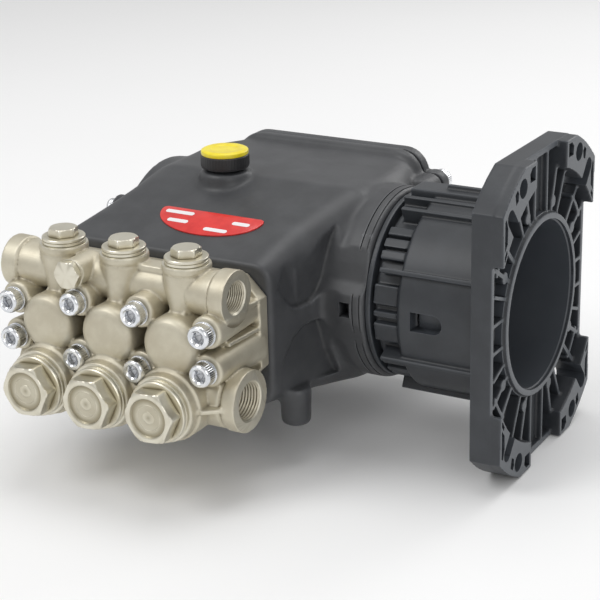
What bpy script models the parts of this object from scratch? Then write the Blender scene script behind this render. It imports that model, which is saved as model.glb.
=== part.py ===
"""Pressure washer plunger pump with a ribbed engine bell.

Metres, +Z up. The origin is where the crankshaft axis crosses the engine mating face: +X runs along
the shaft towards the engine, -Y points at the manifold head, and the plungers lie along Y.
"""
import math

import bmesh
import bpy
from mathutils import Matrix, Vector

# ---------------------------------------------------------------- driving dimensions
PITCH = 0.040                # between plunger axes
THROW = 0.0045               # crank eccentricity, half the stroke
PUMP_X = -0.1956             # middle plunger
HEAD_JOINT_Y = -0.095        # crankcase face that carries the manifold head
COVER_JOINT_Y = 0.062        # crankcase face that carries the rear cover
GAP = 0.0003                 # between pieces that touch
FIT = 0.0003                 # radial clearance of shafts, screws and plungers

# engine bell and flange
FLANGE_HALF_W = 0.0672
FLANGE_HALF_H = 0.0893
CORNER_CUT = 0.01476         # how much a round cut about the shaft takes off each flange corner
FLANGE_CORNER_R = math.hypot(FLANGE_HALF_W, FLANGE_HALF_H) - CORNER_CUT
FLANGE_BACK = 0.018          # back of the plate behind the mating face
RIB_DROP = 0.006             # ribs and walls lie this far behind the mating face
FLOOR_DROP = 0.0135
PLATE_WALL = 0.0035
BORE_R = 0.0478
BORE_RING = 0.0046
BOLT_CIRCLE_R = 0.0885
BOLT_ANGLE = math.radians(27.5)
SLOT_ANGLE = math.radians(40.5)
BOLT_HOLE_R = 0.0053
LUG_INNER_R = 0.077
LUG_SIDE_Y = 0.022
LUG_END_Z = 0.042
BARREL_R = 0.057
BARREL_START = -0.066
BARREL_WALL = 0.0065
NECK_R = 0.050
BELL_FLOOR = 0.008
BELL_SEAT_X = -0.088         # bell seats on the crankcase boss here
SHAFT_HOLE_R = 0.020
RIB_T = 0.0028

# crankcase
BOSS_R = 0.0552
CASE_X = -0.171              # middle of the crank chamber
REAR_HALF_W = 0.061
NECK_HALF_W = 0.0715
CASE_TOP = 0.058
CASE_BOTTOM = -0.058
NECK_TOP = 0.033
NECK_BOTTOM = -0.046
SHOULDER_Y = -0.018          # the sloping top meets the level top here
CASE_WALL = 0.0075
LEFT_BOSS_X = -0.254
RIM_H = 0.003
RIM_T = 0.008
FOOT_R = 0.0085
FOOT_Z = -0.066
FOOT_HALF_X = 0.0485
FOOT_FRONT_Y = -0.072
FOOT_REAR_Y = 0.046
LUG_R = 0.0085
LUG_HALF_X = 0.0685
LUG_Z = 0.040
LUG_DEPTH = 0.018

# crank mechanism
ROD_L = 0.055
ROD_W = 0.016
ECC_R = 0.020
ROD_RING = 0.0058
SMALL_END_R = 0.0062
SMALL_END_W = 0.010
PIN_R = 0.0034
PIN_L = 0.014
GUIDE_R = 0.0150
GUIDE_WALL = 0.0018
GUIDE_BACK = 0.008           # skirt behind the pin
GUIDE_FRONT = 0.022          # crown ahead of the pin
STEM_R = 0.0070
STEM_L = 0.014
STUD_R = 0.0035              # holds the ceramic plunger on its stem
PLUNGER_R = 0.009
PLUNGER_L = 0.038
BEAR_L_R = 0.026
BEAR_L_W = 0.015
BEAR_L_X = -0.261
JOURNAL_L_R = 0.0125
BEAR_R_R = 0.031
BEAR_R_W = 0.016
BEAR_R_X = -0.119
JOURNAL_R_R = 0.015
SEAL_W = 0.008
SHAFT_R = 0.012
SHAFT_END_X = -0.046
HUB_R = 0.022
HUB_L = 0.026

# manifold head
HEAD_FRONT_Y = -0.1435       # faces the head screws seat on
DOME_Y = -0.1490
DOME_R = 0.0163
BORE_PLUNGER_R = 0.011
SEAL_PACK_R = 0.018
SEAL_PACK_L = 0.0145
GALLERY_Y = -0.1256
DELIVERY_Z = 0.0259
SUCTION_Z = -0.0317
PLUG_TOP_Z = 0.0497
PLUG_SEAT_Z = 0.0410
PLUG_COLLAR_R = 0.012
PLUG_COLLAR_T = 0.0038
PLUG_AF = 0.0145
PLUG_THREAD_R = 0.0088
CAP_SEAT_Y = -0.1555
CAP_THREAD_END_Y = -0.1428
CAP_FRONT_Y = -0.1688
CAP_AF = 0.0268
CAP_COLLAR_R = 0.0172
CAP_COLLAR_T = 0.0045
CAP_THREAD_R = 0.0120
SPRING_POCKET_R = 0.0085
SUCTION_BOSS_R = 0.0192
OUT_PORT_X = (-0.0735, 0.0704)    # outlet port faces, left and right of the middle plunger
OUT_PORT_R = 0.0142
OUT_BORE_R = 0.0087
IN_PORT_X = (-0.0645, 0.0767)     # inlet port faces, left and right of the middle plunger
IN_PORT_R = 0.0168
IN_BORE_R = 0.0104
SCREW_OUT_X = 0.0617
SCREW_OUT_Z = 0.0107
SCREW_IN_X = 0.0198
SCREW_IN_Z = 0.0157
HEAD_FLANGE_T = 0.008
SCREW_BOSS_R = 0.0088
SCREW_BOSS_SIDES = 10
M8_HEAD_R = 0.0065
M8_HEAD_L = 0.008
M8_R = 0.004
M6_HEAD_R = 0.005
M6_HEAD_L = 0.006
M6_R = 0.003
M6_SOCKET_AF = 0.005
SOCKET_AF = 0.006

BIG = 28                     # sides of the large rounds
MID = 16
SMALL = 12
TINY = 8
HALF_STEP = math.pi / MID    # turns a round so that a flat, not an edge, faces its neighbour
EPS = 0.001                  # how far a cutter runs past the face it opens

PLUNGER_X = [PUMP_X + PITCH * (i - 1) for i in range(3)]
THROW_ANGLES = [math.radians(90 + 120 * i) for i in range(3)]

# ---------------------------------------------------------------- scene helpers


def clear_scene():
    for obj in list(bpy.data.objects):
        bpy.data.objects.remove(obj, do_unlink=True)


clear_scene()
PARTS = bpy.data.collections.new("pressure_washer_pump")
CUTTERS = bpy.data.collections.new("cutters")
for group in (PARTS, CUTTERS):
    bpy.context.scene.collection.children.link(group)

TURN = {"X": Matrix.Rotation(math.pi / 2, 4, "Y"), "Y": Matrix.Rotation(-math.pi / 2, 4, "X"),
        "Z": Matrix.Identity(4)}
ALONG = {"X": 0, "Y": 1, "Z": 2}
SMOOTH_UNDER = math.radians(46)      # rounds are shaded smooth, hexagons and steps stay crisp


def new_object(name, mesh_or_bm, at=(0, 0, 0)):
    """Link a mesh, or a bmesh that is used up, as an object of the model."""
    mesh = mesh_or_bm
    if not isinstance(mesh_or_bm, bpy.types.Mesh):
        mesh = bpy.data.meshes.new(name)
        if mesh_or_bm.calc_volume(signed=True) < 0:
            bmesh.ops.reverse_faces(mesh_or_bm, faces=mesh_or_bm.faces)
        mesh_or_bm.to_mesh(mesh)
        mesh_or_bm.free()
        mesh.shade_smooth()
        mesh.set_sharp_from_angle(angle=SMOOTH_UNDER)
    obj = bpy.data.objects.new(name, mesh)
    obj.location = at
    PARTS.objects.link(obj)
    return obj


def box(lo, hi, name="block", at=(0, 0, 0)):
    bm = bmesh.new()
    bmesh.ops.create_cube(bm, size=1.0)
    size = [b - a for a, b in zip(lo, hi)]
    middle = [(a + b) / 2 for a, b in zip(lo, hi)]
    bm.transform(Matrix.Translation(middle) @ Matrix.Diagonal((*size, 1.0)))
    return new_object(name, bm, at)


def rod(axis, start, end, centre, radius, sides=MID, end_radius=None, spin=0.0, name="rod", at=(0, 0, 0)):
    """A cylinder or cone from start to end along an axis, about the line through centre."""
    bm = bmesh.new()
    far = radius if end_radius is None else end_radius
    first, last, r_first, r_last = start, end, radius, far
    if end < start:
        first, last, r_first, r_last = end, start, far, radius
    bmesh.ops.create_cone(bm, cap_ends=True, segments=sides, radius1=r_first, radius2=r_last,
                          depth=last - first)
    place = Vector(centre)
    place[ALONG[axis]] = (first + last) / 2
    bm.transform(Matrix.Translation(place) @ TURN[axis] @ Matrix.Rotation(spin, 4, "Z"))
    return new_object(name, bm, at)


def hexagon(axis, start, end, centre, across_flats, name="hex", spin=0.0):
    return rod(axis, start, end, centre, across_flats / math.sqrt(3), 6, spin=spin, name=name)


def turned(axis, profile, centre, sides=MID, name="turned", at=(0, 0, 0)):
    """Revolve (radius, height) points; heights are along the axis and fall from first to last."""
    mesh = bpy.data.meshes.new(name)
    closed = profile[0][0] > 0 and profile[-1][0] > 0
    points = [(r, 0.0, h) for r, h in profile]
    edges = [(i, i + 1) for i in range(len(points) - 1)]
    if closed:
        edges.append((len(points) - 1, 0))
    mesh.from_pydata(points, edges, [])
    obj = new_object(name, mesh, Vector(centre) + Vector(at))
    obj.rotation_euler = TURN[axis].to_euler()
    screw = obj.modifiers.new("turn", "SCREW")
    screw.axis = "Z"
    screw.angle = 2 * math.pi
    screw.steps = sides
    screw.render_steps = sides
    screw.use_merge_vertices = True
    screw.merge_threshold = 1e-6
    screw.use_smooth_shade = True
    return obj


def outline_plate(axis, start, end, outlines, name="plate"):
    """Extrude flat outlines between two places on an axis; an inner outline is a hole.

    Points are (y, z) for the X axis and (x, z) for the Y axis.
    """
    curve = bpy.data.curves.new(name, "CURVE")
    curve.dimensions = "2D"
    curve.fill_mode = "BOTH"
    curve.extrude = abs(end - start) / 2
    for points in outlines:
        spline = curve.splines.new("POLY")
        spline.points.add(len(points) - 1)
        for point, (u, v) in zip(spline.points, points):
            point.co = (u, v, 0.0, 1.0)
        spline.use_cyclic_u = True
    source = bpy.data.objects.new(name + "_curve", curve)
    mesh = bpy.data.meshes.new_from_object(source)
    bpy.data.objects.remove(source, do_unlink=True)
    bpy.data.curves.remove(curve)
    bm = bmesh.new()
    bm.from_mesh(mesh)
    bpy.data.meshes.remove(mesh)
    bmesh.ops.remove_doubles(bm, verts=bm.verts, dist=1e-6)
    middle = (start + end) / 2
    if axis == "X":
        place = Matrix(((0, 0, 1, middle), (1, 0, 0, 0), (0, 1, 0, 0), (0, 0, 0, 1)))
    else:
        place = Matrix(((1, 0, 0, 0), (0, 0, -1, middle), (0, 1, 0, 0), (0, 0, 0, 1)))
    bm.transform(place)
    return new_object(name, bm)


def loft(stations, name="loft"):
    """Skin a row of closed sections, each the same number of points, and cap the ends."""
    bm = bmesh.new()
    rings = [[bm.verts.new(p) for p in station] for station in stations]
    count = len(rings[0])
    for near, far in zip(rings, rings[1:]):
        for i in range(count):
            j = (i + 1) % count
            bm.faces.new((near[i], near[j], far[j], far[i]))
    bm.faces.new(list(reversed(rings[0])))
    bm.faces.new(rings[-1])
    return new_object(name, bm)


def arc(cx, cy, radius, start, end, steps):
    """Points on an arc, angles in degrees."""
    turns = [math.radians(start + (end - start) * i / steps) for i in range(steps + 1)]
    return [(cx + radius * math.cos(turn), cy + radius * math.sin(turn)) for turn in turns]


def rounded_rectangle(x0, x1, z0, z1, radius, steps=3):
    r = radius
    return (arc(x1 - r, z1 - r, r, 0, 90, steps) + arc(x0 + r, z1 - r, r, 90, 180, steps)
            + arc(x0 + r, z0 + r, r, 180, 270, steps) + arc(x1 - r, z0 + r, r, 270, 360, steps))


def circle(radius, sides, cx=0.0, cy=0.0):
    return arc(cx, cy, radius, 0, 360 - 360 / sides, sides - 1)


def stage(obj, operation, tools):
    """One Boolean step of a casting: join or cut a whole group of tools."""
    group = bpy.data.collections.new(obj.name + "_" + operation.lower())
    CUTTERS.children.link(group)
    for tool in tools:
        PARTS.objects.unlink(tool)
        group.objects.link(tool)
        tool.hide_render = True
        tool.display_type = "WIRE"
    step = obj.modifiers.new(operation.lower(), "BOOLEAN")
    step.operation = operation
    step.solver = "EXACT"
    step.operand_type = "COLLECTION"
    step.collection = group


def join(obj, tools):
    stage(obj, "UNION", tools)


def cut(obj, tools):
    stage(obj, "DIFFERENCE", tools)


def finish(obj, name, material):
    """Name a piece and give it its material."""
    obj.name = name
    obj.data.name = name
    obj.data.materials.clear()
    obj.data.materials.append(material)
    return obj


def finish_material(name, colour, roughness, metallic):
    material = bpy.data.materials.new(name)
    material.use_nodes = True
    shader = material.node_tree.nodes["Principled BSDF"]
    shader.inputs["Base Color"].default_value = (*colour, 1.0)
    shader.inputs["Roughness"].default_value = roughness
    shader.inputs["Metallic"].default_value = metallic
    return material


CASE_BLACK = finish_material("black_cast_aluminium", (0.060, 0.063, 0.067), 0.55, 0.2)
BELL_BLACK = finish_material("black_bell_casting", (0.045, 0.049, 0.055), 0.50, 0.2)
NICKEL = finish_material("nickel_plated_brass", (0.52, 0.48, 0.38), 0.35, 0.9)
ZINC = finish_material("bright_zinc", (0.75, 0.76, 0.78), 0.22, 1.0)
STEEL = finish_material("machined_steel", (0.45, 0.46, 0.48), 0.30, 1.0)
ALLOY = finish_material("machined_aluminium", (0.60, 0.61, 0.62), 0.35, 1.0)
CERAMIC = finish_material("white_ceramic", (0.86, 0.85, 0.80), 0.12, 0.0)
RUBBER = finish_material("black_rubber", (0.02, 0.02, 0.02), 0.7, 0.0)
KNOB_BLACK = finish_material("black_plastic", (0.018, 0.018, 0.020), 0.45, 0.0)
YELLOW = finish_material("yellow_plastic", (0.85, 0.72, 0.02), 0.35, 0.0)
RED = finish_material("red_name_plate", (0.62, 0.03, 0.03), 0.35, 0.0)
GLASS = finish_material("sight_glass", (0.75, 0.70, 0.45), 0.08, 0.0)

# ---------------------------------------------------------------- shared outlines


def corner_cut_rectangle(half_w, half_h, corner_r, steps=4):
    """A rectangle about the shaft whose corners are arcs of one circle, as (y, z) points."""
    low = math.degrees(math.asin(math.sqrt(max(corner_r ** 2 - half_w ** 2, 0.0)) / corner_r))
    high = math.degrees(math.asin(half_h / corner_r))
    points = []
    for turn, flip in ((0, 1), (180, -1), (180, 1), (360, -1)):
        first, last = (low, high) if flip > 0 else (high, low)
        points += arc(0, 0, corner_r, turn + flip * first, turn + flip * last, steps)
    return points


def case_top(y):
    """Height of the crankcase top: it slopes up from the neck and levels off behind the shoulder."""
    share = min((y - HEAD_JOINT_Y) / (SHOULDER_Y - HEAD_JOINT_Y), 1.0)
    return NECK_TOP + (CASE_TOP - NECK_TOP) * share


def case_bottom(y):
    share = min((y - HEAD_JOINT_Y) / (SHOULDER_Y - HEAD_JOINT_Y), 1.0)
    return NECK_BOTTOM + (CASE_BOTTOM - NECK_BOTTOM) * share


def case_section(y, x0, x1, radius, inset=0.0):
    ring = rounded_rectangle(x0 + inset, x1 - inset, case_bottom(y) + inset, case_top(y) - inset, radius)
    return [(x, y, z) for x, z in ring]


def cover_corners():
    """Centres of the four rear cover screws, as (x, z)."""
    return [(CASE_X + sx * LUG_HALF_X, sz * LUG_Z) for sx, sz in ((1, 1), (-1, 1), (-1, -1), (1, -1))]


def head_screw_places():
    """Centres of the eight head screws, as (x, z): four pairs, left to right."""
    places = []
    for x, z in ((-SCREW_OUT_X, SCREW_OUT_Z), (-SCREW_IN_X, SCREW_IN_Z), (SCREW_IN_X, SCREW_IN_Z),
                 (SCREW_OUT_X, SCREW_OUT_Z)):
        places += [(PUMP_X + x, z), (PUMP_X + x, -z)]
    return places


def feet():
    return [(CASE_X + sx * FOOT_HALF_X, y) for sx in (-1, 1) for y in (FOOT_FRONT_Y, FOOT_REAR_Y)]


# ---------------------------------------------------------------- crankcase
FILLER_Y = -0.022
FILLER_BOSS_R = 0.0165
FILLER_BOSS_TOP = CASE_TOP + 0.004
FILLER_BORE_R = 0.0095
CHAMBER_FRONT_Y = -0.033
CHAMBER_LEFT_X = PLUNGER_X[0] - ROD_W / 2 - 0.001
CHAMBER_RIGHT_X = BEAR_R_X - 0.002
GUIDE_BORE_END = -0.0845
STEM_BORE_R = 0.0098
SHOULDER_LEFT_X = -0.2525
SHOULDER_RIGHT_X = -0.098
BOSS_START_X = -0.112


def crankcase_body():
    sections = [
        case_section(HEAD_JOINT_Y, PUMP_X - NECK_HALF_W, PUMP_X + NECK_HALF_W, 0.012),
        case_section(-0.064, -0.260, -0.1175, 0.016),
        case_section(SHOULDER_Y, SHOULDER_LEFT_X, SHOULDER_RIGHT_X, 0.018),
        case_section(0.034, SHOULDER_LEFT_X, SHOULDER_RIGHT_X - 0.004, 0.018),
        case_section(COVER_JOINT_Y + 0.001, CASE_X - REAR_HALF_W, CASE_X + REAR_HALF_W, 0.014),
    ]
    return loft(sections, "crankcase")


def crank_chamber():
    """The open space behind the guides: it leaves through the rear joint face."""
    left, right = CHAMBER_LEFT_X, CHAMBER_RIGHT_X
    wall = CASE_WALL
    rear_left = CASE_X - REAR_HALF_W + wall
    rear_right = CASE_X + REAR_HALF_W - wall
    sections = []
    for y, x0, x1, r in ((CHAMBER_FRONT_Y, left, right, 0.012), (0.034, left, right, 0.012),
                         (COVER_JOINT_Y, rear_left, rear_right, 0.010),
                         (COVER_JOINT_Y + 0.006, rear_left, rear_right, 0.010)):
        ring = rounded_rectangle(x0, x1, CASE_BOTTOM + wall, CASE_TOP - wall, r)
        sections.append([(x, y, z) for x, z in ring])
    return loft(sections, "chamber")


def make_crankcase():
    body = crankcase_body()
    adds = [
        rod("X", BOSS_START_X, BELL_SEAT_X, (0, 0, 0), BOSS_R, BIG),
        rod("X", LEFT_BOSS_X, CHAMBER_LEFT_X - 0.002, (0, 0, 0), BOSS_R, BIG),
        rod("Z", CASE_TOP - 0.006, FILLER_BOSS_TOP, (PUMP_X, FILLER_Y, 0), FILLER_BOSS_R),
    ]
    rim = rounded_rectangle(CASE_X - REAR_HALF_W - RIM_H, CASE_X + REAR_HALF_W + RIM_H,
                            CASE_BOTTOM - RIM_H, CASE_TOP + RIM_H, 0.016)
    adds.append(outline_plate("Y", COVER_JOINT_Y - RIM_T, COVER_JOINT_Y + 0.002, [rim]))
    for x, z in cover_corners():
        adds.append(rod("Y", COVER_JOINT_Y - LUG_DEPTH, COVER_JOINT_Y + 0.003, (x, 0, z), LUG_R, SMALL))
    for x, y in feet():
        adds.append(rod("Z", FOOT_Z, case_bottom(y) + 0.006, (x, y, 0), FOOT_R, SMALL))
    join(body, adds)

    cut(body, [box((CASE_X - 0.1, COVER_JOINT_Y, -0.1), (CASE_X + 0.1, COVER_JOINT_Y + 0.005, 0.1))])
    cut(body, [crank_chamber()])
    cuts = [
        rod("X", LEFT_BOSS_X - 0.020, LEFT_BOSS_X, (0, 0, 0), BOSS_R + 0.001, BIG, spin=0.05),
        rod("X", CHAMBER_RIGHT_X - EPS, BELL_SEAT_X + EPS, (0, 0, 0), BEAR_R_R + FIT, BIG),
        rod("X", LEFT_BOSS_X - EPS, CHAMBER_LEFT_X + EPS, (0, 0, 0), BEAR_L_R + FIT, BIG),
        rod("Z", CASE_TOP - CASE_WALL - EPS, FILLER_BOSS_TOP + EPS, (PUMP_X, FILLER_Y, 0), FILLER_BORE_R,
            SMALL),
    ]
    for x in PLUNGER_X:
        cuts.append(rod("Y", GUIDE_BORE_END, CHAMBER_FRONT_Y + EPS, (x, 0, 0), GUIDE_R + FIT))
        cuts.append(rod("Y", HEAD_JOINT_Y - EPS, GUIDE_BORE_END + EPS, (x, 0, 0), STEM_BORE_R, SMALL))
    cut(body, cuts)
    cuts = tap_bearing_cover_holes()
    for x, z in head_screw_places():
        cuts.append(rod("Y", HEAD_JOINT_Y - EPS, HEAD_JOINT_Y + 0.0165, (x, 0, z), M8_R + FIT, TINY))
    for x, z in cover_corners():
        cuts.append(rod("Y", COVER_JOINT_Y - LUG_DEPTH + 0.003, COVER_JOINT_Y + EPS, (x, 0, z), M8_R + FIT,
                        TINY))
    for x, y in feet():
        cuts.append(rod("Z", FOOT_Z - EPS, FOOT_Z + 0.012, (x, y, 0), 0.0034, TINY))
    cut(body, cuts)
    return finish(body, "crankcase", CASE_BLACK)


# ---------------------------------------------------------------- rear cover
COVER_T = 0.0075
GASKET_T = 0.0008
COVER_FRONT_Y = COVER_JOINT_Y + 2 * GAP + GASKET_T
COVER_BACK_Y = COVER_FRONT_Y + COVER_T
COVER_LUG_Y = COVER_BACK_Y + 0.0008
COVER_BOSS_Y = COVER_BACK_Y + 0.006
SIGHT_R = 0.0115
SIGHT_Z = -0.006
DRAIN_Z = -0.042
DRAIN_R = 0.0065


def cover_outline(margin=0.0):
    return rounded_rectangle(CASE_X - REAR_HALF_W - margin, CASE_X + REAR_HALF_W + margin,
                             CASE_BOTTOM - margin, CASE_TOP + margin, 0.015)


def make_rear_cover():
    plate = outline_plate("Y", COVER_FRONT_Y, COVER_BACK_Y, [cover_outline(RIM_H)])
    adds = [rod("Y", COVER_FRONT_Y + GAP, COVER_LUG_Y, (x, 0, z), LUG_R, SMALL) for x, z in cover_corners()]
    adds.append(outline_plate("Y", COVER_BACK_Y - 0.001, COVER_BACK_Y + 0.003, [cover_outline(-0.010)]))
    adds.append(rod("Y", COVER_FRONT_Y + 0.004, COVER_BOSS_Y, (CASE_X, 0, SIGHT_Z), SIGHT_R + 0.004))
    adds.append(rod("Y", COVER_FRONT_Y + 0.003, COVER_BOSS_Y, (CASE_X, 0, DRAIN_Z), DRAIN_R + 0.005, MID))
    join(plate, adds)
    through = COVER_BOSS_Y + EPS
    cuts = [rod("Y", COVER_FRONT_Y - EPS, through, (x, 0, z), M8_R + FIT, TINY) for x, z in cover_corners()]
    cuts.append(rod("Y", COVER_FRONT_Y - EPS, COVER_BACK_Y + 0.002, (CASE_X, 0, SIGHT_Z), SIGHT_R - 0.003,
                    SMALL))
    cuts.append(rod("Y", COVER_BACK_Y + 0.001, through, (CASE_X, 0, SIGHT_Z), SIGHT_R + FIT))
    cuts.append(rod("Y", COVER_FRONT_Y - EPS, through, (CASE_X, 0, DRAIN_Z), DRAIN_R + FIT, SMALL))
    cut(plate, cuts)
    finish(plate, "rear_cover", CASE_BLACK)

    seal = outline_plate("Y", COVER_JOINT_Y + GAP, COVER_JOINT_Y + GAP + GASKET_T,
                         [cover_outline(0.0), cover_outline(-CASE_WALL + 0.001)])
    finish(seal, "rear_cover_gasket", RUBBER)

    glass = rod("Y", COVER_BACK_Y + 0.001 + GAP, COVER_BACK_Y + 0.007, (CASE_X, 0, SIGHT_Z), SIGHT_R)
    finish(glass, "sight_glass", GLASS)

    seat = COVER_BOSS_Y + GAP
    plug = rod("Y", COVER_FRONT_Y, seat + 0.001, (CASE_X, 0, DRAIN_Z), DRAIN_R, SMALL)
    join(plug, [rod("Y", seat, seat + 0.002, (CASE_X, 0, DRAIN_Z), DRAIN_R + 0.004),
                hexagon("Y", seat + 0.001, seat + 0.008, (CASE_X, 0, DRAIN_Z), 0.014)])
    finish(plug, "drain_plug", ZINC)


# ---------------------------------------------------------------- screws


def cap_screw(name, axis, seat, direction, centre, head_r, head_l, shank_r, shank_l, socket):
    """A socket head cap screw; the head stands on its seat towards direction."""
    start = seat + direction * GAP
    top = start + direction * head_l
    screw = rod(axis, start, top, centre, head_r, SMALL)
    join(screw, [rod(axis, start + direction * EPS, start - direction * shank_l, centre, shank_r, TINY)])
    cut(screw, [hexagon(axis, top - direction * head_l * 0.55, top + direction * EPS, centre, socket)])
    return finish(screw, name, ZINC)


def make_screws():
    for i, (x, z) in enumerate(head_screw_places(), 1):
        cap_screw(f"head_screw_{i}", "Y", HEAD_FRONT_Y, -1, (x, 0, z), M8_HEAD_R, M8_HEAD_L, M8_R,
                  HEAD_JOINT_Y - HEAD_FRONT_Y + 0.0165, SOCKET_AF)
    for i, (x, z) in enumerate(cover_corners(), 1):
        cap_screw(f"rear_cover_screw_{i}", "Y", COVER_LUG_Y, 1, (x, 0, z), M8_HEAD_R, M8_HEAD_L, M8_R,
                  COVER_T + LUG_DEPTH - 0.006, SOCKET_AF)
    for i, (y, z) in enumerate(bearing_cover_holes(), 1):
        cap_screw(f"bearing_cover_screw_{i}", "X", BEARING_COVER_X, -1, (0, y, z), M6_HEAD_R, M6_HEAD_L, M6_R,
                  0.021, M6_SOCKET_AF)


# ---------------------------------------------------------------- left bearing cover
BEARING_COVER_X = -0.268
BEARING_COVER_R = 0.036
BEARING_COVER_LUG_R = 0.008
BEARING_COVER_PITCH_R = 0.0425


def bearing_cover_holes():
    """Three screws as (y, z), the first towards the front and top."""
    r = BEARING_COVER_PITCH_R
    return [(r * math.cos(math.radians(a)), r * math.sin(math.radians(a))) for a in (135, 255, 15)]


def make_bearing_cover():
    seat = LEFT_BOSS_X - GAP
    cover = rod("X", BEARING_COVER_X, seat, (0, 0, 0), BEARING_COVER_R, BIG)
    join(cover, [rod("X", BEARING_COVER_X, seat, (0, y, z), BEARING_COVER_LUG_R, SMALL)
                 for y, z in bearing_cover_holes()])
    cuts = [rod("X", BEAR_L_X - GAP, seat + EPS, (0, 0, 0), BEAR_L_R + FIT, BIG),
            rod("X", BEARING_COVER_X - EPS, BEARING_COVER_X + 0.002, (0, 0, 0), BEARING_COVER_R - 0.010, MID)]
    cuts += [rod("X", BEARING_COVER_X - EPS, seat + EPS, (0, y, z), M6_R + FIT, SMALL)
             for y, z in bearing_cover_holes()]
    cut(cover, cuts)
    finish(cover, "bearing_cover", CASE_BLACK)


def tap_bearing_cover_holes():
    return [rod("X", LEFT_BOSS_X - EPS, LEFT_BOSS_X + 0.0075, (0, y, z), M6_R + FIT, SMALL)
            for y, z in bearing_cover_holes()]


# ---------------------------------------------------------------- bell housing
WINDOW_X = -0.049
WINDOW_L = 0.019
WINDOW_H = 0.011
BELL_RIM_T = 0.003
BELL_GROOVE_END = -0.0825
TOOTH_R = 0.0535
BARREL_RIB_R = 0.0600
PAD_HALF = 0.005
WIDE_RIB_HALF = 0.008
SLOT_HALF = 0.0046
LUG_POCKET = ((0.0255, 0.0805), (0.0320, 0.0745), (0.0335, 0.0855), (0.0255, 0.0855))
SIDE_POCKET = ((0.0635, 0.0500), (0.0635, 0.0640), (0.0585, 0.0600), (0.0600, 0.0540))


def radial(axis_angle, r0, r1, half_t, x0, x1):
    """A rib in the plane of the shaft: from r0 to r1, at an angle from +Z towards +Y."""
    rib = box((x0, -half_t, r0), (x1, half_t, r1))
    rib.rotation_euler = (-axis_angle, 0, 0)
    return rib


def bell_shell():
    back = -FLANGE_BACK + 0.002
    start = BELL_SEAT_X + GAP
    inner = BARREL_R - BARREL_WALL
    ring = BORE_R + BORE_RING + 0.001
    proud = 0.002
    profile = [
        (BORE_R, proud), (ring, proud), (ring, back), (BARREL_R, back), (BARREL_R, BARREL_START + 0.002),
        (BARREL_R - 0.003, BARREL_START), (NECK_R, BARREL_START), (NECK_R, BELL_GROOVE_END),
        (NECK_R - 0.003, BELL_GROOVE_END),
        (NECK_R - 0.003, start + BELL_RIM_T), (BOSS_R - 0.0015, start + BELL_RIM_T), (BOSS_R - 0.0015, start),
        (SHAFT_HOLE_R, start), (SHAFT_HOLE_R, start + BELL_FLOOR), (NECK_R - 0.0075, start + BELL_FLOOR),
        (NECK_R - 0.0075, BARREL_START), (inner, BARREL_START + 0.008), (inner, -FLANGE_BACK - 0.006),
        (BORE_R, -FLANGE_BACK - 0.004),
    ]
    return turned("X", profile, (0, 0, 0), BIG, "bell_housing")


def quadrants():
    return [(sy, sz) for sy in (1, -1) for sz in (1, -1)]


def lug_outline(sy, sz, back_off=0.0002):
    """Corner lug between an inner arc, its two end walls and the plate's own edge, as (y, z)."""
    inner, side, end = LUG_INNER_R + back_off, LUG_SIDE_Y + back_off, LUG_END_Z + back_off
    rim = 0.001
    high = math.degrees(math.acos(side / inner))
    low = math.degrees(math.asin(end / inner))
    corner_low = math.degrees(math.acos(FLANGE_HALF_W / FLANGE_CORNER_R))
    corner_high = math.degrees(math.asin(FLANGE_HALF_H / FLANGE_CORNER_R))
    points = arc(0, 0, inner, low, high, 4)
    points.append((side, FLANGE_HALF_H - rim))
    points += arc(0, 0, FLANGE_CORNER_R - rim, corner_high, corner_low, 3)
    points.append((FLANGE_HALF_W - rim, end))
    return [(sy * y, sz * z) for y, z in points]


def field_outline():
    """The face between the corner lugs: a round middle with four arms that run off the plate."""
    high = math.degrees(math.acos(LUG_SIDE_Y / LUG_INNER_R))
    low = math.degrees(math.asin(LUG_END_Z / LUG_INNER_R))
    quarter = [(FLANGE_HALF_W + 0.005, LUG_END_Z)] + arc(0, 0, LUG_INNER_R, low, high, 4)
    quarter.append((LUG_SIDE_Y, FLANGE_HALF_H + 0.005))
    points = []
    for sy, sz in ((1, 1), (-1, 1), (-1, -1), (1, -1)):
        run = [(sy * y, sz * z) for y, z in quarter]
        points += run if sy * sz > 0 else run[::-1]
    return points


def polar(angle, radius):
    """A place at an angle from +Z towards +Y, as (y, z)."""
    return radius * math.sin(angle), radius * math.cos(angle)


def flange_ribs():
    """Radial ribs with small bosses on them; they stand proud and are faced with the field."""
    back = -FLOOR_DROP - 0.001
    ring = BORE_R + BORE_RING - 0.001
    tools = []
    for sy, sz in quadrants():
        for number, (degrees, reach) in enumerate(((16.5, 0.0785), (35.0, 0.0785), (61.0, 0.0730))):
            angle = math.atan2(sy * math.sin(math.radians(degrees)), sz * math.cos(math.radians(degrees)))
            tools.append(radial(angle, ring, reach, RIB_T / 2, back, -RIB_DROP + 0.0010 + 0.0003 * number))
        for degrees in (18.5, 58.0):
            y, z = polar(math.radians(degrees), 0.0575)
            tools.append(rod("X", back, -RIB_DROP + 0.0025, (0, sy * y, sz * z), 0.0033, TINY))
        for lo, hi in (((0.0082 - RIB_T / 2, ring), (0.0082 + RIB_T / 2, FLANGE_HALF_H - 0.002)),
                       ((ring, 0.0080 - RIB_T / 2), (FLANGE_HALF_W - 0.002, 0.0080 + RIB_T / 2))):
            y0, y1 = sorted((sy * lo[0], sy * hi[0]))
            z0, z1 = sorted((sz * lo[1], sz * hi[1]))
            tools.append(box((back, y0, z0), (-RIB_DROP + 0.0020, y1, z1)))
    return tools


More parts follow.
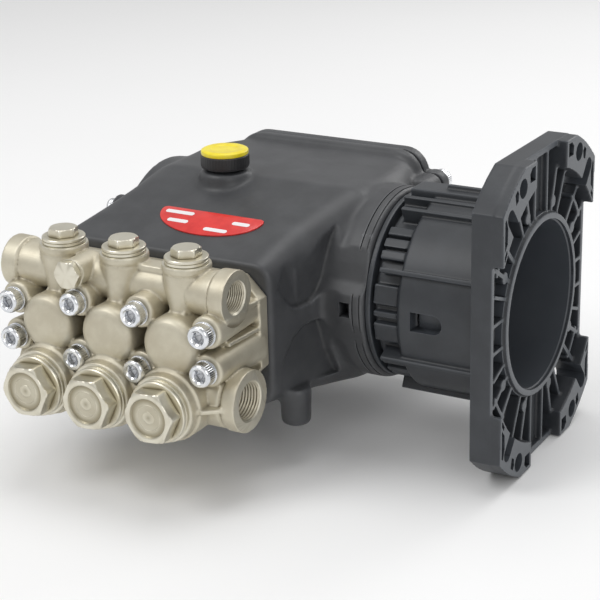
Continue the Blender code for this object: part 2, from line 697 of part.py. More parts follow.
def lug_holes():
    """Bolt holes, inward-opening slots and lightening pockets of the four corner lugs."""
    tools = []
    for sy, sz in quadrants():
        y, z = polar(BOLT_ANGLE, BOLT_CIRCLE_R)
        tools.append(rod("X", -FLANGE_BACK - EPS, EPS, (0, sy * y, sz * z), BOLT_HOLE_R, SMALL))
        slot_y, slot_z = polar(SLOT_ANGLE, BOLT_CIRCLE_R - 0.001)
        tools.append(rod("X", -FLANGE_BACK - EPS, EPS, (0, sy * slot_y, sz * slot_z), SLOT_HALF, SMALL))
        angle = math.atan2(sy * math.sin(SLOT_ANGLE), sz * math.cos(SLOT_ANGLE))
        tools.append(radial(angle, 0.070, BOLT_CIRCLE_R - 0.001, SLOT_HALF * 0.99, -FLANGE_BACK - EPS, EPS))
        for pocket in (LUG_POCKET, SIDE_POCKET):
            tools.append(outline_plate("X", -FLOOR_DROP, EPS, [[(sy * a, sz * b) for a, b in pocket]]))
    return tools


def barrel_ribs():
    """Long ribs down the barrel, two wide ones above and below, and short pads round the neck."""
    start, end = BELL_GROOVE_END, -FLANGE_BACK + 0.001
    root = NECK_R - 0.002
    pads_end = BARREL_START + 0.001
    tools = []
    for side in (1, -1):
        for degrees in (26, 64, 116, 154):
            tools.append(radial(math.radians(degrees * side), root, BARREL_RIB_R, RIB_T / 2, start, end))
        for degrees in (45, 90, 135):
            tools.append(radial(math.radians(degrees * side), root, TOOTH_R, PAD_HALF, start, pads_end))
    for degrees in (0, 180):
        tools.append(radial(math.radians(degrees), root, BARREL_RIB_R, WIDE_RIB_HALF, start, end))
    return tools


def make_bell():
    bell = bell_shell()
    outer = corner_cut_rectangle(FLANGE_HALF_W, FLANGE_HALF_H, FLANGE_CORNER_R)
    plate = outline_plate("X", -FLANGE_BACK, 0.001, [outer, circle(BORE_R + BORE_RING / 2, BIG)])
    join(bell, [plate] + barrel_ribs())

    inner = corner_cut_rectangle(FLANGE_HALF_W - PLATE_WALL, FLANGE_HALF_H - PLATE_WALL,
                                 FLANGE_CORNER_R - PLATE_WALL)
    cut(bell, [outline_plate("X", -FLOOR_DROP, EPS, [inner, circle(BORE_R + BORE_RING, BIG)])])

    lugs = [outline_plate("X", -FLOOR_DROP - EPS, 0.003, [lug_outline(sy, sz)]) for sy, sz in quadrants()]
    join(bell, lugs + flange_ribs())
    cut(bell, [outline_plate("X", -RIB_DROP, 0.001, [field_outline()]),
               box((0.0, -0.1, -0.1), (0.005, 0.1, 0.1))])

    r = WINDOW_H / 2
    far = WINDOW_X + WINDOW_L / 2 - r
    window = [(WINDOW_X - WINDOW_L / 2, -r)] + arc(far, 0, r, -90, 90, 6) + [(WINDOW_X - WINDOW_L / 2, r)]
    windows = [outline_plate("Y", side * 0.040, side * 0.066, [window]) for side in (1, -1)]
    cut(bell, lug_holes() + windows)
    return finish(bell, "bell_housing", BELL_BLACK)


# ---------------------------------------------------------------- crank mechanism


def throw_offset(i):
    angle = THROW_ANGLES[i]
    return THROW * math.cos(angle), THROW * math.sin(angle)


ECC_HALF = ROD_W / 2 + 0.0006
CORE_STEP = 0.0005           # the shaft between the eccentrics stays this far inside each of them
CORE_R = ECC_R - THROW - CORE_STEP
KEY_X0 = -0.080
KEY_X1 = -0.056
KEY_W = 0.008
KEY_Z0 = 0.0080
KEY_Z1 = 0.0150


def make_crankshaft():
    """One turned shaft with three eccentrics a third of a turn apart."""
    shaft = rod("X", PLUNGER_X[0] - ECC_HALF, PLUNGER_X[2] + ECC_HALF, (0, 0, 0), CORE_R)
    adds = []
    for i, x in enumerate(PLUNGER_X):
        y, z = throw_offset(i)
        adds.append(rod("X", x - ECC_HALF, x + ECC_HALF, (0, y, z), ECC_R, BIG))
    adds.append(rod("X", BEAR_L_X + 0.001, PLUNGER_X[0] - ECC_HALF + GAP, (0, 0, 0), JOURNAL_L_R))
    adds.append(rod("X", PLUNGER_X[2] + ECC_HALF - GAP, BEAR_R_X - 0.0015, (0, 0, 0), JOURNAL_R_R + 0.003))
    adds.append(rod("X", BEAR_R_X - 0.002, BELL_SEAT_X - 0.004, (0, 0, 0), JOURNAL_R_R))
    adds.append(rod("X", BELL_SEAT_X - 0.005, SHAFT_END_X, (0, 0, 0), SHAFT_R))
    join(shaft, adds)
    half = KEY_W / 2 + GAP
    cut(shaft, [box((KEY_X0 - GAP, -half, KEY_Z0 - GAP), (KEY_X1 + GAP, half, SHAFT_R + EPS))])
    finish(shaft, "crankshaft", STEEL)
    key = box((KEY_X0, -KEY_W / 2, KEY_Z0), (KEY_X1, KEY_W / 2, KEY_Z1))
    finish(key, "shaft_key", STEEL)


def make_coupling_hub():
    """Pump half of the jaw coupling, keyed on the shaft end."""
    start = -0.078
    hub = rod("X", start, start + HUB_L, (0, 0, 0), HUB_R)
    half = KEY_W / 2 + GAP
    jaws = []
    for i in range(3):
        jaw = box((start + HUB_L - EPS, -0.006, 0.013), (start + HUB_L + 0.010, 0.006, HUB_R - 0.0012))
        jaw.rotation_euler = (math.radians(60 + 120 * i), 0, 0)
        jaws.append(jaw)
    join(hub, jaws)
    cut(hub, [rod("X", start - EPS, start + HUB_L + 0.012, (0, 0, 0), SHAFT_R + FIT),
              box((start - EPS, -half, 0.0), (start + HUB_L + 0.012, half, KEY_Z1 + GAP))])
    finish(hub, "coupling_hub", STEEL)


def make_con_rod(i):
    """Big end on the eccentric, small end on the wrist pin; the origin is the big end's axis."""
    y, z = throw_offset(i)
    at = (PLUNGER_X[i], y, z)
    half = ROD_W / 2
    body = rod("X", -half, half, (0, 0, 0), ECC_R + FIT + ROD_RING, BIG, at=at)
    small = SMALL_END_W / 2
    web = small - 0.001
    adds = [rod("X", -small, small, (0, -ROD_L, 0), SMALL_END_R, SMALL, at=at),
            box((-web, -ROD_L + PIN_R + 0.001, -0.0048), (web, -ECC_R - 0.001, 0.0048), at=at)]
    join(body, adds)
    cut(body, [rod("X", -half - EPS, half + EPS, (0, 0, 0), ECC_R + FIT, BIG, at=at),
               rod("X", -small - EPS, small + EPS, (0, -ROD_L, 0), PIN_R + FIT, SMALL, at=at)])
    finish(body, f"con_rod_{i + 1}", ALLOY)
    pin = rod("X", -PIN_L / 2, PIN_L / 2, (0, -ROD_L, 0), PIN_R, SMALL, at=at)
    finish(pin, f"wrist_pin_{i + 1}", STEEL)


def make_plunger(i):
    """Guide with its stem, and the ceramic plunger on the stem; the origin is the rest pin place."""
    y, _ = throw_offset(i)
    at = (PLUNGER_X[i], y - ROD_L, 0)
    inner = GUIDE_R - GUIDE_WALL
    crown = -GUIDE_FRONT
    clear = SMALL_END_R + 2 * THROW + 0.0005
    tip = crown - STEM_L
    guide = rod("Y", crown, GUIDE_BACK, (0, 0, 0), GUIDE_R, at=at)
    join(guide, [rod("Y", crown + EPS, tip, (0, 0, 0), STEM_R, TINY, at=at),
                 rod("Y", tip + EPS, tip - PLUNGER_L + 0.004, (0, 0, 0), STUD_R, TINY, at=at)])
    cut(guide, [rod("Y", -clear, GUIDE_BACK + EPS, (0, 0, 0), inner, at=at)])
    finish(guide, f"plunger_guide_{i + 1}", STEEL)
    start = tip - GAP
    sleeve = rod("Y", start, start - PLUNGER_L, (0, 0, 0), PLUNGER_R, at=at)
    cut(sleeve, [rod("Y", start + EPS, start - PLUNGER_L + 0.003, (0, 0, 0), STUD_R + FIT, TINY, at=at)])
    finish(sleeve, f"ceramic_plunger_{i + 1}", CERAMIC)


def ring(axis, start, end, centre, outer, inner, sides=MID):
    body = rod(axis, start, end, centre, outer, sides)
    low, high = sorted((start, end))
    cut(body, [rod(axis, low - EPS, high + EPS, centre, inner, sides)])
    return body


def bearing(name, x, width, outer, journal):
    """Deep groove bearing: the two races joined by a shallower shield."""
    race = 0.004
    inner = journal + FIT
    profile = [(inner, x + width), (inner + race, x + width), (inner + race, x + width - 0.001),
               (outer - race, x + width - 0.001), (outer - race, x + width), (outer, x + width), (outer, x),
               (inner, x)]
    finish(turned("X", profile, (0, 0, 0), MID, name), name, STEEL)


def make_shaft_support():
    bearing("bearing_left", BEAR_L_X, BEAR_L_W, BEAR_L_R, JOURNAL_L_R)
    bearing("bearing_right", BEAR_R_X, BEAR_R_W, BEAR_R_R, JOURNAL_R_R)
    seal_x = BEAR_R_X + BEAR_R_W + 0.001
    seal = ring("X", seal_x, seal_x + SEAL_W, (0, 0, 0), BEAR_R_R, JOURNAL_R_R + FIT)
    finish(seal, "shaft_seal", RUBBER)


# ---------------------------------------------------------------- manifold head
HEAD_BACK_Y = HEAD_JOINT_Y - GAP
LEFT_PORTS = (PUMP_X + OUT_PORT_X[0], PUMP_X + IN_PORT_X[0])
RIGHT_PORTS = (PUMP_X + OUT_PORT_X[1], PUMP_X + IN_PORT_X[1])
BORE_END_Y = -0.1410
SEAT_Y = -0.1370
SEAT_Z = 0.0125
GAUGE_X = -0.2173
GAUGE_Z = 0.0314
GAUGE_BOSS_R = 0.0084
GAUGE_SEAT_Y = -0.1440
GAUGE_FRONT_Y = -0.1495


def head_flange_outline():
    """Back plate of the head: a wide plate with chamfered corners."""
    w, top, low, c = NECK_HALF_W, 0.030, -0.034, 0.013
    return [(PUMP_X + sx * a, b) for sx, a, b in (
        (1, w, low + c), (1, w, top - c), (1, w - c, top), (-1, w - c, top), (-1, w, top - c),
        (-1, w, low + c), (-1, w - c, low), (1, w - c, low))]


def head_forms():
    """Everything the casting is built up from, ahead of its back plate."""
    tools = [
        box((PUMP_X - 0.056, -0.1265, -0.034), (PUMP_X + 0.056, HEAD_BACK_Y - 0.004, 0.020)),
        rod("X", PUMP_X - 0.056, PUMP_X + 0.056, (0, GALLERY_Y, DELIVERY_Z), 0.0118, spin=HALF_STEP),
        rod("X", PUMP_X - 0.060, PUMP_X + 0.060, (0, GALLERY_Y, SUCTION_Z), 0.0172, spin=HALF_STEP),
    ]
    for side, outlet, inlet in ((-1, *LEFT_PORTS), (1, *RIGHT_PORTS)):
        tools.append(rod("X", PUMP_X + side * 0.050, outlet, (0, GALLERY_Y, DELIVERY_Z), 0.0128,
                         end_radius=OUT_PORT_R))
        tools.append(rod("X", PUMP_X + side * 0.054, inlet - side * 0.005, (0, GALLERY_Y, SUCTION_Z), 0.0150))
        tools.append(rod("X", inlet - side * 0.006, inlet, (0, GALLERY_Y, SUCTION_Z), IN_PORT_R))
    for x in PLUNGER_X:
        tools.append(rod("Z", PLUG_SEAT_Z, 0.004, (x, GALLERY_Y, 0), 0.0132, MID, end_radius=0.0100))
        dome = [(0, -0.112), (DOME_R, -0.112), (DOME_R, DOME_Y + 0.0055), (DOME_R - 0.0013, DOME_Y + 0.0025),
                (DOME_R - 0.0045, DOME_Y + 0.0006), (0, DOME_Y)]
        tools.append(turned("Y", dome, (x, 0, 0)))
        tools.append(rod("Y", -0.112, CAP_SEAT_Y, (x, 0, SUCTION_Z), SUCTION_BOSS_R, MID))
        tools.append(box((x - 0.004, -0.1475, SUCTION_Z + 0.010), (x + 0.004, -0.120, -0.008)))
    for x, z in head_screw_places():
        tools.append(rod("Y", HEAD_BACK_Y - 0.004, HEAD_FRONT_Y, (x, 0, z), SCREW_BOSS_R, SCREW_BOSS_SIDES))
    tools.append(rod("Y", GALLERY_Y, GAUGE_SEAT_Y, (GAUGE_X, 0, GAUGE_Z), GAUGE_BOSS_R))
    return tools


def head_bores():
    tools = []
    for z, gallery_r, left, right in ((DELIVERY_Z, 0.0062, LEFT_PORTS[0], RIGHT_PORTS[0]),
                                      (SUCTION_Z, 0.0085, LEFT_PORTS[1], RIGHT_PORTS[1])):
        tools.append(rod("X", left - EPS, right + EPS, (0, GALLERY_Y, z), gallery_r, TINY, spin=0.3))
    for side, outlet, inlet in ((-1, *LEFT_PORTS), (1, *RIGHT_PORTS)):
        tools.append(rod("X", inlet - side * 0.016, inlet + side * EPS, (0, GALLERY_Y, SUCTION_Z), IN_BORE_R))
        tools.append(rod("X", outlet - side * 0.014, outlet + side * EPS, (0, GALLERY_Y, DELIVERY_Z),
                         OUT_BORE_R))
    for x in PLUNGER_X:
        tools.append(rod("Y", HEAD_JOINT_Y + EPS, HEAD_BACK_Y - SEAL_PACK_L - 0.003, (x, 0, 0),
                         SEAL_PACK_R + FIT, SMALL))
        tools.append(rod("Y", HEAD_BACK_Y, BORE_END_Y, (x, 0, 0), BORE_PLUNGER_R, SMALL))
        tools.append(rod("Y", CAP_SEAT_Y - EPS, SEAT_Y, (x, 0, SUCTION_Z), CAP_THREAD_R + FIT, SMALL))
        tools.append(rod("Y", SEAT_Y - EPS, GALLERY_Y, (x, 0, SUCTION_Z), 0.0070, TINY))
        tools.append(rod("Z", SUCTION_Z + 0.0105, -0.006, (x, SEAT_Y - 0.0005, 0), 0.0030, TINY, spin=0.2))
        tools.append(rod("Z", PLUG_SEAT_Z + EPS, SEAT_Z, (x, GALLERY_Y, 0), PLUG_THREAD_R + FIT, SMALL))
        tools.append(rod("Z", SEAT_Z + EPS, 0.004, (x, GALLERY_Y, 0), 0.0050, TINY))
    for x, z in head_screw_places():
        tools.append(rod("Y", HEAD_JOINT_Y + EPS, HEAD_FRONT_Y - EPS, (x, 0, z), M8_R + FIT, TINY))
    tools.append(rod("Y", GALLERY_Y, GAUGE_SEAT_Y - EPS, (GAUGE_X, 0, GAUGE_Z), 0.0045, TINY))
    return tools


def make_head():
    head = outline_plate("Y", HEAD_BACK_Y - HEAD_FLANGE_T, HEAD_BACK_Y, [head_flange_outline()])
    join(head, head_forms())
    cut(head, head_bores())
    return finish(head, "manifold_head", NICKEL)


def make_seal_pack(i):
    start = HEAD_BACK_Y - 0.001
    bore = PLUNGER_R + 2 * FIT
    body = ring("Y", start - SEAL_PACK_L, start, (PLUNGER_X[i], 0, 0), SEAL_PACK_R, bore, SMALL)
    finish(body, f"seal_pack_{i + 1}", RUBBER)


def make_suction_cap(i):
    """Valve cap: threaded body with a spring pocket, round collar and a hexagon dished on its face."""
    centre = (PLUNGER_X[i], 0, SUCTION_Z)
    seat = CAP_SEAT_Y - GAP
    collar = seat - CAP_COLLAR_T
    cap = rod("Y", seat, collar, centre, CAP_COLLAR_R, MID)
    join(cap, [rod("Y", CAP_THREAD_END_Y, seat - EPS, centre, CAP_THREAD_R, SMALL),
               hexagon("Y", collar + EPS, CAP_FRONT_Y, centre, CAP_AF, spin=math.radians(12))])
    cut(cap, [rod("Y", CAP_FRONT_Y - EPS, CAP_FRONT_Y + 0.0015, centre, 0.0105),
              rod("Y", CAP_THREAD_END_Y + EPS, CAP_THREAD_END_Y - 0.0065, centre, SPRING_POCKET_R, SMALL)])
    finish(cap, f"suction_cap_{i + 1}", NICKEL)


def make_delivery_plug(i):
    """Delivery valve plug: threaded body, round collar and a hexagon on top."""
    centre = (PLUNGER_X[i], GALLERY_Y, 0)
    seat = PLUG_SEAT_Z + GAP
    plug = rod("Z", seat, seat + PLUG_COLLAR_T, centre, PLUG_COLLAR_R, MID)
    join(plug, [rod("Z", seat - 0.008, seat + EPS, centre, PLUG_THREAD_R, SMALL),
                hexagon("Z", seat + PLUG_COLLAR_T - EPS, PLUG_TOP_Z, centre, PLUG_AF)])
    finish(plug, f"delivery_plug_{i + 1}", NICKEL)


def make_gauge_plug():
    centre = (GAUGE_X, 0, GAUGE_Z)
    seat = GAUGE_SEAT_Y - GAP
    plug = rod("Y", seat, seat - 0.0012, centre, GAUGE_BOSS_R - GAP, MID)
    join(plug, [rod("Y", seat + 0.007, seat - EPS / 2, centre, 0.0041, SMALL),
                hexagon("Y", seat - EPS / 2, GAUGE_FRONT_Y, centre, PLUG_AF)])
    finish(plug, "gauge_plug", NICKEL)


def make_valves(i):
    """Poppets: each rests just off its seat and lifts against its spring."""
    at = (PLUNGER_X[i], 0, SUCTION_Z)
    lift_from = SEAT_Y - GAP
    poppet = rod("Y", lift_from, lift_from - 0.0022, (0, 0, 0), 0.0090, SMALL, at=at)
    join(poppet, [rod("Y", lift_from - EPS, lift_from - 0.0052, (0, 0, 0), 0.0025, TINY, at=at)])
    finish(poppet, f"suction_valve_{i + 1}", STEEL)
    at = (PLUNGER_X[i], GALLERY_Y, 0)
    rise_from = SEAT_Z + GAP
    poppet = rod("Z", rise_from, rise_from + 0.0025, (0, 0, 0), 0.0072, SMALL, at=at)
    join(poppet, [rod("Z", rise_from + EPS, rise_from + 0.0110, (0, 0, 0), 0.0025, TINY, at=at)])
    finish(poppet, f"delivery_valve_{i + 1}", STEEL)


# ---------------------------------------------------------------- filler cap and name plate
CAP_GRIP_R = 0.0143
CAP_GRIP_H = 0.0080
DISC_R = 0.0139
DISC_H = 0.0030
PLATE_HALF_L = 0.0335
PLATE_DEPTH = 0.0205
PLATE_TOP_Y = -0.060
PLATE_X = -0.1810
PLATE_T = 0.0006


def make_oil_cap():
    centre = (PUMP_X, FILLER_Y, 0)
    seat = FILLER_BOSS_TOP + GAP
    grip = rod("Z", seat, seat + CAP_GRIP_H, centre, CAP_GRIP_R, MID)
    join(grip, [rod("Z", seat - 0.010, seat + EPS, centre, FILLER_BORE_R - FIT, SMALL)])
    finish(grip, "oil_cap", KNOB_BLACK)
    top = seat + CAP_GRIP_H + GAP
    profile = [(0, DISC_H), (DISC_R - 0.0015, DISC_H), (DISC_R, DISC_H - 0.0012), (DISC_R, 0), (0, 0)]
    disc = turned("Z", profile, (PUMP_X, FILLER_Y, top), MID, "disc")
    finish(disc, "oil_cap_disc", YELLOW)


def make_name_plate():
    """A half-oval plate lying on the sloping top."""
    points = [(PLATE_HALF_L * math.cos(math.radians(a)), -PLATE_DEPTH * abs(math.sin(math.radians(a))) ** 0.8)
              for a in range(0, 181, 12)]
    slope = math.atan2(CASE_TOP - NECK_TOP, SHOULDER_Y - HEAD_JOINT_Y)
    bm = bmesh.new()
    low = [bm.verts.new((x, y, GAP)) for x, y in points]
    high = [bm.verts.new((x, y, GAP + PLATE_T)) for x, y in points]
    bm.faces.new(low)
    bm.faces.new(list(reversed(high)))
    for i in range(len(points)):
        j = (i + 1) % len(points)
        bm.faces.new((low[i], high[i], high[j], low[j]))
    bm.transform(Matrix.Rotation(slope, 4, "X"))
    plate = new_object("name_plate", bm, (PLATE_X, PLATE_TOP_Y, case_top(PLATE_TOP_Y)))
    finish(plate, "name_plate", RED)


# ---------------------------------------------------------------- the pump
make_crankcase()
make_rear_cover()
make_bearing_cover()
make_screws()
make_bell()
make_crankshaft()
make_coupling_hub()
make_shaft_support()
make_head()
make_gauge_plug()
for number in range(3):
    make_con_rod(number)
    make_plunger(number)
    make_seal_pack(number)
    make_suction_cap(number)
    make_delivery_plug(number)
    make_valves(number)
make_oil_cap()
make_name_plate()
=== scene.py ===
"""Pressure washer pump: castings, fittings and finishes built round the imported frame.

Metres, +Z up. The crankshaft lies along X and leaves through the bell towards +X; the manifold head
faces -Y; the origin is where the shaft crosses the engine mating face.
"""
import math

import bmesh
import bpy
from mathutils import Matrix, Vector


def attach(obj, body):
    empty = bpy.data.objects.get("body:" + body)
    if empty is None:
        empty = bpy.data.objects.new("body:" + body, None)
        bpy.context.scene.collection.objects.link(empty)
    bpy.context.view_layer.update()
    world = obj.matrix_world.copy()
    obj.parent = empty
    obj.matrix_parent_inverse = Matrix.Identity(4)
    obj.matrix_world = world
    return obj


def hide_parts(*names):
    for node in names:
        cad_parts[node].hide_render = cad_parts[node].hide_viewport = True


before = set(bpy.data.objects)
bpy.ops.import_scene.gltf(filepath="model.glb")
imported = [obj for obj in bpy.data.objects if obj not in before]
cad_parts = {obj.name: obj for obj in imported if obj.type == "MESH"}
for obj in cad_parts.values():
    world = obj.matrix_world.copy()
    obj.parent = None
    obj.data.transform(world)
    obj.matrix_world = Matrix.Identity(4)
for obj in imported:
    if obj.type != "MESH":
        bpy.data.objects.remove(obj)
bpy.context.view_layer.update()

PUMP_BODY = "pump_body"
PITCH = 0.040
PUMP_X = -0.1956
PLUNGER_X = [PUMP_X - PITCH, PUMP_X, PUMP_X + PITCH]
HEAD_JOINT_Y = -0.0953
COVER_JOINT_Y = 0.062
GALLERY_Y = -0.1256
DELIVERY_Z = 0.0259
SUCTION_Z = -0.0317
PLUG_SEAT_Z = 0.0410
CAP_SEAT_Y = -0.1555
SCREW_SEAT_Y = -0.1435
DOME_Y = -0.1490
DOME_R = 0.0165
GAUGE_PLACE = (-0.2173, 0, 0.0314)
GAUGE_SEAT_Y = -0.1440
CASE_X = -0.171
FILLER_PLACE = (PUMP_X, -0.022)
SHOULDER_Y = -0.018
NECK_TOP, CASE_TOP = 0.033, 0.058
NECK_BOTTOM, CASE_BOTTOM = -0.049, -0.058
LAND_X = -0.006              # tops of the flange ribs
OVER = 0.001                 # how far a cutter runs past the face it opens

TO_AXIS = {"X": Matrix.Rotation(math.pi / 2, 4, "Y"), "Y": Matrix.Rotation(-math.pi / 2, 4, "X"),
           "Z": Matrix.Identity(4)}
ALONG = {"X": 0, "Y": 1, "Z": 2}


# ---------------------------------------------------------------- forms, as bmeshes
def block(lo, hi):
    form = bmesh.new()
    bmesh.ops.create_cube(form, size=1.0)
    size = [b - a for a, b in zip(lo, hi)]
    middle = [(a + b) / 2 for a, b in zip(lo, hi)]
    form.transform(Matrix.Translation(middle) @ Matrix.Diagonal((*size, 1.0)))
    return form


def rod(axis, start, end, centre, radius, end_radius=None, sides=64):
    """A cylinder or cone from start to end along an axis, about the line through centre."""
    far = radius if end_radius is None else end_radius
    if end < start:
        start, end, radius, far = end, start, far, radius
    form = bmesh.new()
    bmesh.ops.create_cone(form, cap_ends=True, segments=sides, radius1=radius, radius2=far, depth=end - start)
    place = Vector(centre)
    place[ALONG[axis]] = (start + end) / 2
    form.transform(Matrix.Translation(place) @ TO_AXIS[axis])
    return form


def lathe(axis, rings, centre, sides=96):
    """Skin rings of (radius, height) round an axis; a radius may be a function of the angle."""
    form = bmesh.new()
    loops = []
    for radius, height in rings:
        if radius == 0:
            loops.append([form.verts.new((0.0, 0.0, height))])
            continue
        loop = []
        for i in range(sides):
            angle = 2 * math.pi * i / sides
            r = radius(angle) if callable(radius) else radius
            loop.append(form.verts.new((r * math.cos(angle), r * math.sin(angle), height)))
        loops.append(loop)
    for near, far in zip(loops, loops[1:]):
        for i in range(sides):
            j = (i + 1) % sides
            corners = [near[i % len(near)], near[j % len(near)], far[j % len(far)], far[i % len(far)]]
            form.faces.new(list(dict.fromkeys(corners)))
    if len(loops[0]) > 1 and len(loops[-1]) > 1:
        for i in range(sides):
            j = (i + 1) % sides
            form.faces.new((loops[-1][i], loops[-1][j], loops[0][j], loops[0][i]))
    bmesh.ops.recalc_face_normals(form, faces=form.faces)
    if form.calc_volume(signed=True) < 0:
        bmesh.ops.reverse_faces(form, faces=form.faces)
    form.transform(Matrix.Translation(centre) @ TO_AXIS[axis])
    return form


def plate(axis, start, end, outline, hole=None):
    """Extrude an outline between two places on an axis: (y, z) points for X, (x, z) for Y, (x, y) for Z."""
    low, high = sorted((start, end))
    form = bmesh.new()
    rows = [outline] + ([hole] if hole else [])
    edges = []
    for points in rows:
        loop = [form.verts.new((u, v, 0.0)) for u, v in points]
        edges += [form.edges.new((loop[i], loop[(i + 1) % len(loop)])) for i in range(len(loop))]
    if hole:
        bmesh.ops.triangle_fill(form, edges=edges, use_beauty=True)
    else:
        bmesh.ops.contextual_create(form, geom=edges)
    grown = bmesh.ops.extrude_face_region(form, geom=list(form.faces))
    bmesh.ops.translate(form, verts=[v for v in grown["geom"] if isinstance(v, bmesh.types.BMVert)],
                        vec=(0, 0, high - low))
    place = {"X": Matrix(((0, 0, 1, low), (1, 0, 0, 0), (0, 1, 0, 0), (0, 0, 0, 1))),
             "Y": Matrix(((1, 0, 0, 0), (0, 0, 1, low), (0, 1, 0, 0), (0, 0, 0, 1))),
             "Z": Matrix(((1, 0, 0, 0), (0, 1, 0, 0), (0, 0, 1, low), (0, 0, 0, 1)))}[axis]
    form.transform(place)
    bmesh.ops.recalc_face_normals(form, faces=form.faces)
    if form.calc_volume(signed=True) < 0:
        bmesh.ops.reverse_faces(form, faces=form.faces)
    return form


def loft(stations):
    form = bmesh.new()
    rings = [[form.verts.new(p) for p in station] for station in stations]
    count = len(rings[0])
    for near, far in zip(rings, rings[1:]):
        for i in range(count):
            j = (i + 1) % count
            form.faces.new((near[i], near[j], far[j], far[i]))
    form.faces.new(list(reversed(rings[0])))
    form.faces.new(rings[-1])
    bmesh.ops.recalc_face_normals(form, faces=form.faces)
    return form


def turn(form, axis, angle, about=(0, 0, 0)):
    form.transform(Matrix.Translation(about) @ Matrix.Rotation(angle, 4, axis) @ Matrix.Translation(-Vector(about)))
    return form


def arc(cx, cy, radius, start, end, steps):
    return [(cx + radius * math.cos(math.radians(start + (end - start) * i / steps)),
             cy + radius * math.sin(math.radians(start + (end - start) * i / steps))) for i in range(steps + 1)]


def rounded(x0, x1, z0, z1, radius, steps=8):
    r = radius
    return (arc(x1 - r, z1 - r, r, 0, 90, steps) + arc(x0 + r, z1 - r, r, 90, 180, steps)
            + arc(x0 + r, z0 + r, r, 180, 270, steps) + arc(x1 - r, z0 + r, r, 270, 360, steps))


def circle(radius, sides):
    return arc(0, 0, radius, 0, 360 - 360 / sides, sides - 1)


def hexagon(flats, spin=0.0):
    """Radius of a hexagon of a width across flats, as a function of the angle."""
    def radius(angle):
        return flats / 2 / math.cos((angle + spin) % (math.pi / 3) - math.pi / 6)
    return radius


def within(shape, limit):
    return lambda angle: min(shape(angle), limit)


def knurl(radius, depth, teeth):
    return lambda angle: radius - depth * (0.5 - 0.5 * math.cos(angle * teeth))


def eased(profile, size, steps=3):
    """Round every inner corner of a profile of (radius, height) points."""
    out = [profile[0]]
    for before, here, after in zip(profile, profile[1:], profile[2:]):
        if callable(here[0]) or callable(before[0]) or callable(after[0]):
            out.append(here)
            continue
        a, b, c = Vector(before), Vector(here), Vector(after)
        reach = min(size, (a - b).length * 0.45, (c - b).length * 0.45)
        p, q = b + (a - b).normalized() * reach, b + (c - b).normalized() * reach
        for i in range(steps + 1):
            t = i / steps
            out.append(tuple(p * (1 - t) ** 2 + b * 2 * t * (1 - t) + q * t ** 2))
    out.append(profile[-1])
    return out


def thread(axis, start, end, centre, radius, pitch, depth, sides=64, rows=8):
    """A screw-cut bore to cut away: its wall carries a helical thread."""
    form = bmesh.new()
    low, high = sorted((start, end))
    count = max(int((high - low) / pitch * rows), 2)
    loops = []
    for k in range(count + 1):
        height = low + (high - low) * k / count
        loop = []
        for i in range(sides):
            angle = 2 * math.pi * i / sides
            phase = (height / pitch - angle / (2 * math.pi)) % 1.0
            r = radius - depth * abs(2 * phase - 1)
            loop.append(form.verts.new((r * math.cos(angle), r * math.sin(angle), height)))
        loops.append(loop)
    for near, far in zip(loops, loops[1:]):
        for i in range(sides):
            j = (i + 1) % sides
            form.faces.new((near[i], near[j], far[j], far[i]))
    form.faces.new(list(reversed(loops[0])))
    form.faces.new(loops[-1])
    place = Vector(centre)
    place[ALONG[axis]] = 0.0
    form.transform(Matrix.Translation(place) @ TO_AXIS[axis])
    if form.calc_volume(signed=True) < 0:
        bmesh.ops.reverse_faces(form, faces=form.faces)
    return form


# ---------------------------------------------------------------- objects
def gathered(forms):
    """One bmesh from many, which are used up."""
    whole = bmesh.new()
    for form in forms:
        carrier = bpy.data.meshes.new("carrier")
        form.to_mesh(carrier)
        form.free()
        whole.from_mesh(carrier)
        bpy.data.meshes.remove(carrier)
    return whole


def emit(name, form):
    mesh = bpy.data.meshes.new(name)
    form.to_mesh(mesh)
    form.free()
    obj = bpy.data.objects.new(name, mesh)
    bpy.context.scene.collection.objects.link(obj)
    return obj


def settle(obj):
    """Replace an object's mesh by what its modifiers make of it."""
    graph = bpy.context.evaluated_depsgraph_get()
    made = bpy.data.meshes.new_from_object(obj.evaluated_get(graph))
    old = obj.data
    obj.modifiers.clear()
    obj.data = made
    bpy.data.meshes.remove(old)
    made.name = obj.name
    return obj


def cut(obj, forms, operation="DIFFERENCE", solver="MANIFOLD"):
    """Take forms off an object, or add them to it."""
    tool = emit("tool", gathered(forms))
    step = obj.modifiers.new("cut", "BOOLEAN")
    step.operation = operation
    step.solver = solver
    step.use_self = solver == "EXACT"
    step.object = tool
    settle(obj)
    spent = tool.data
    bpy.data.objects.remove(tool)
    bpy.data.meshes.remove(spent)
    return obj


def cut_each(obj, forms):
    """Forms that may touch each other are cut one at a time."""
    for form in forms:
        cut(obj, [form])


def skin(obj, voxel, rounds):
    """Fuse an object's overlapping forms into one skin and soften its edges, as a casting's are."""
    fuse = obj.modifiers.new("fuse", "REMESH")
    fuse.mode = "VOXEL"
    fuse.voxel_size = voxel
    fuse.adaptivity = 0.0
    soften = obj.modifiers.new("soften", "SMOOTH")
    soften.factor = 0.5
    soften.iterations = rounds
    return settle(obj)


def fit_out(obj, material, nodes=(), body=PUMP_BODY, angle=32, bevel=0.0):
    """Give a piece its edge break, shading, finish, body and the frame nodes it stands for."""
    if bevel:
        edge = obj.modifiers.new("edge_break", "BEVEL")
        edge.width = bevel
        edge.segments = 2
        edge.limit_method = "ANGLE"
        edge.angle_limit = math.radians(28)
        settle(obj)
    obj.data.shade_smooth()
    obj.data.set_sharp_from_angle(angle=math.radians(angle))
    obj.data.materials.clear()
    obj.data.materials.append(material)
    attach(obj, body)
    if nodes:
        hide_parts(*nodes)


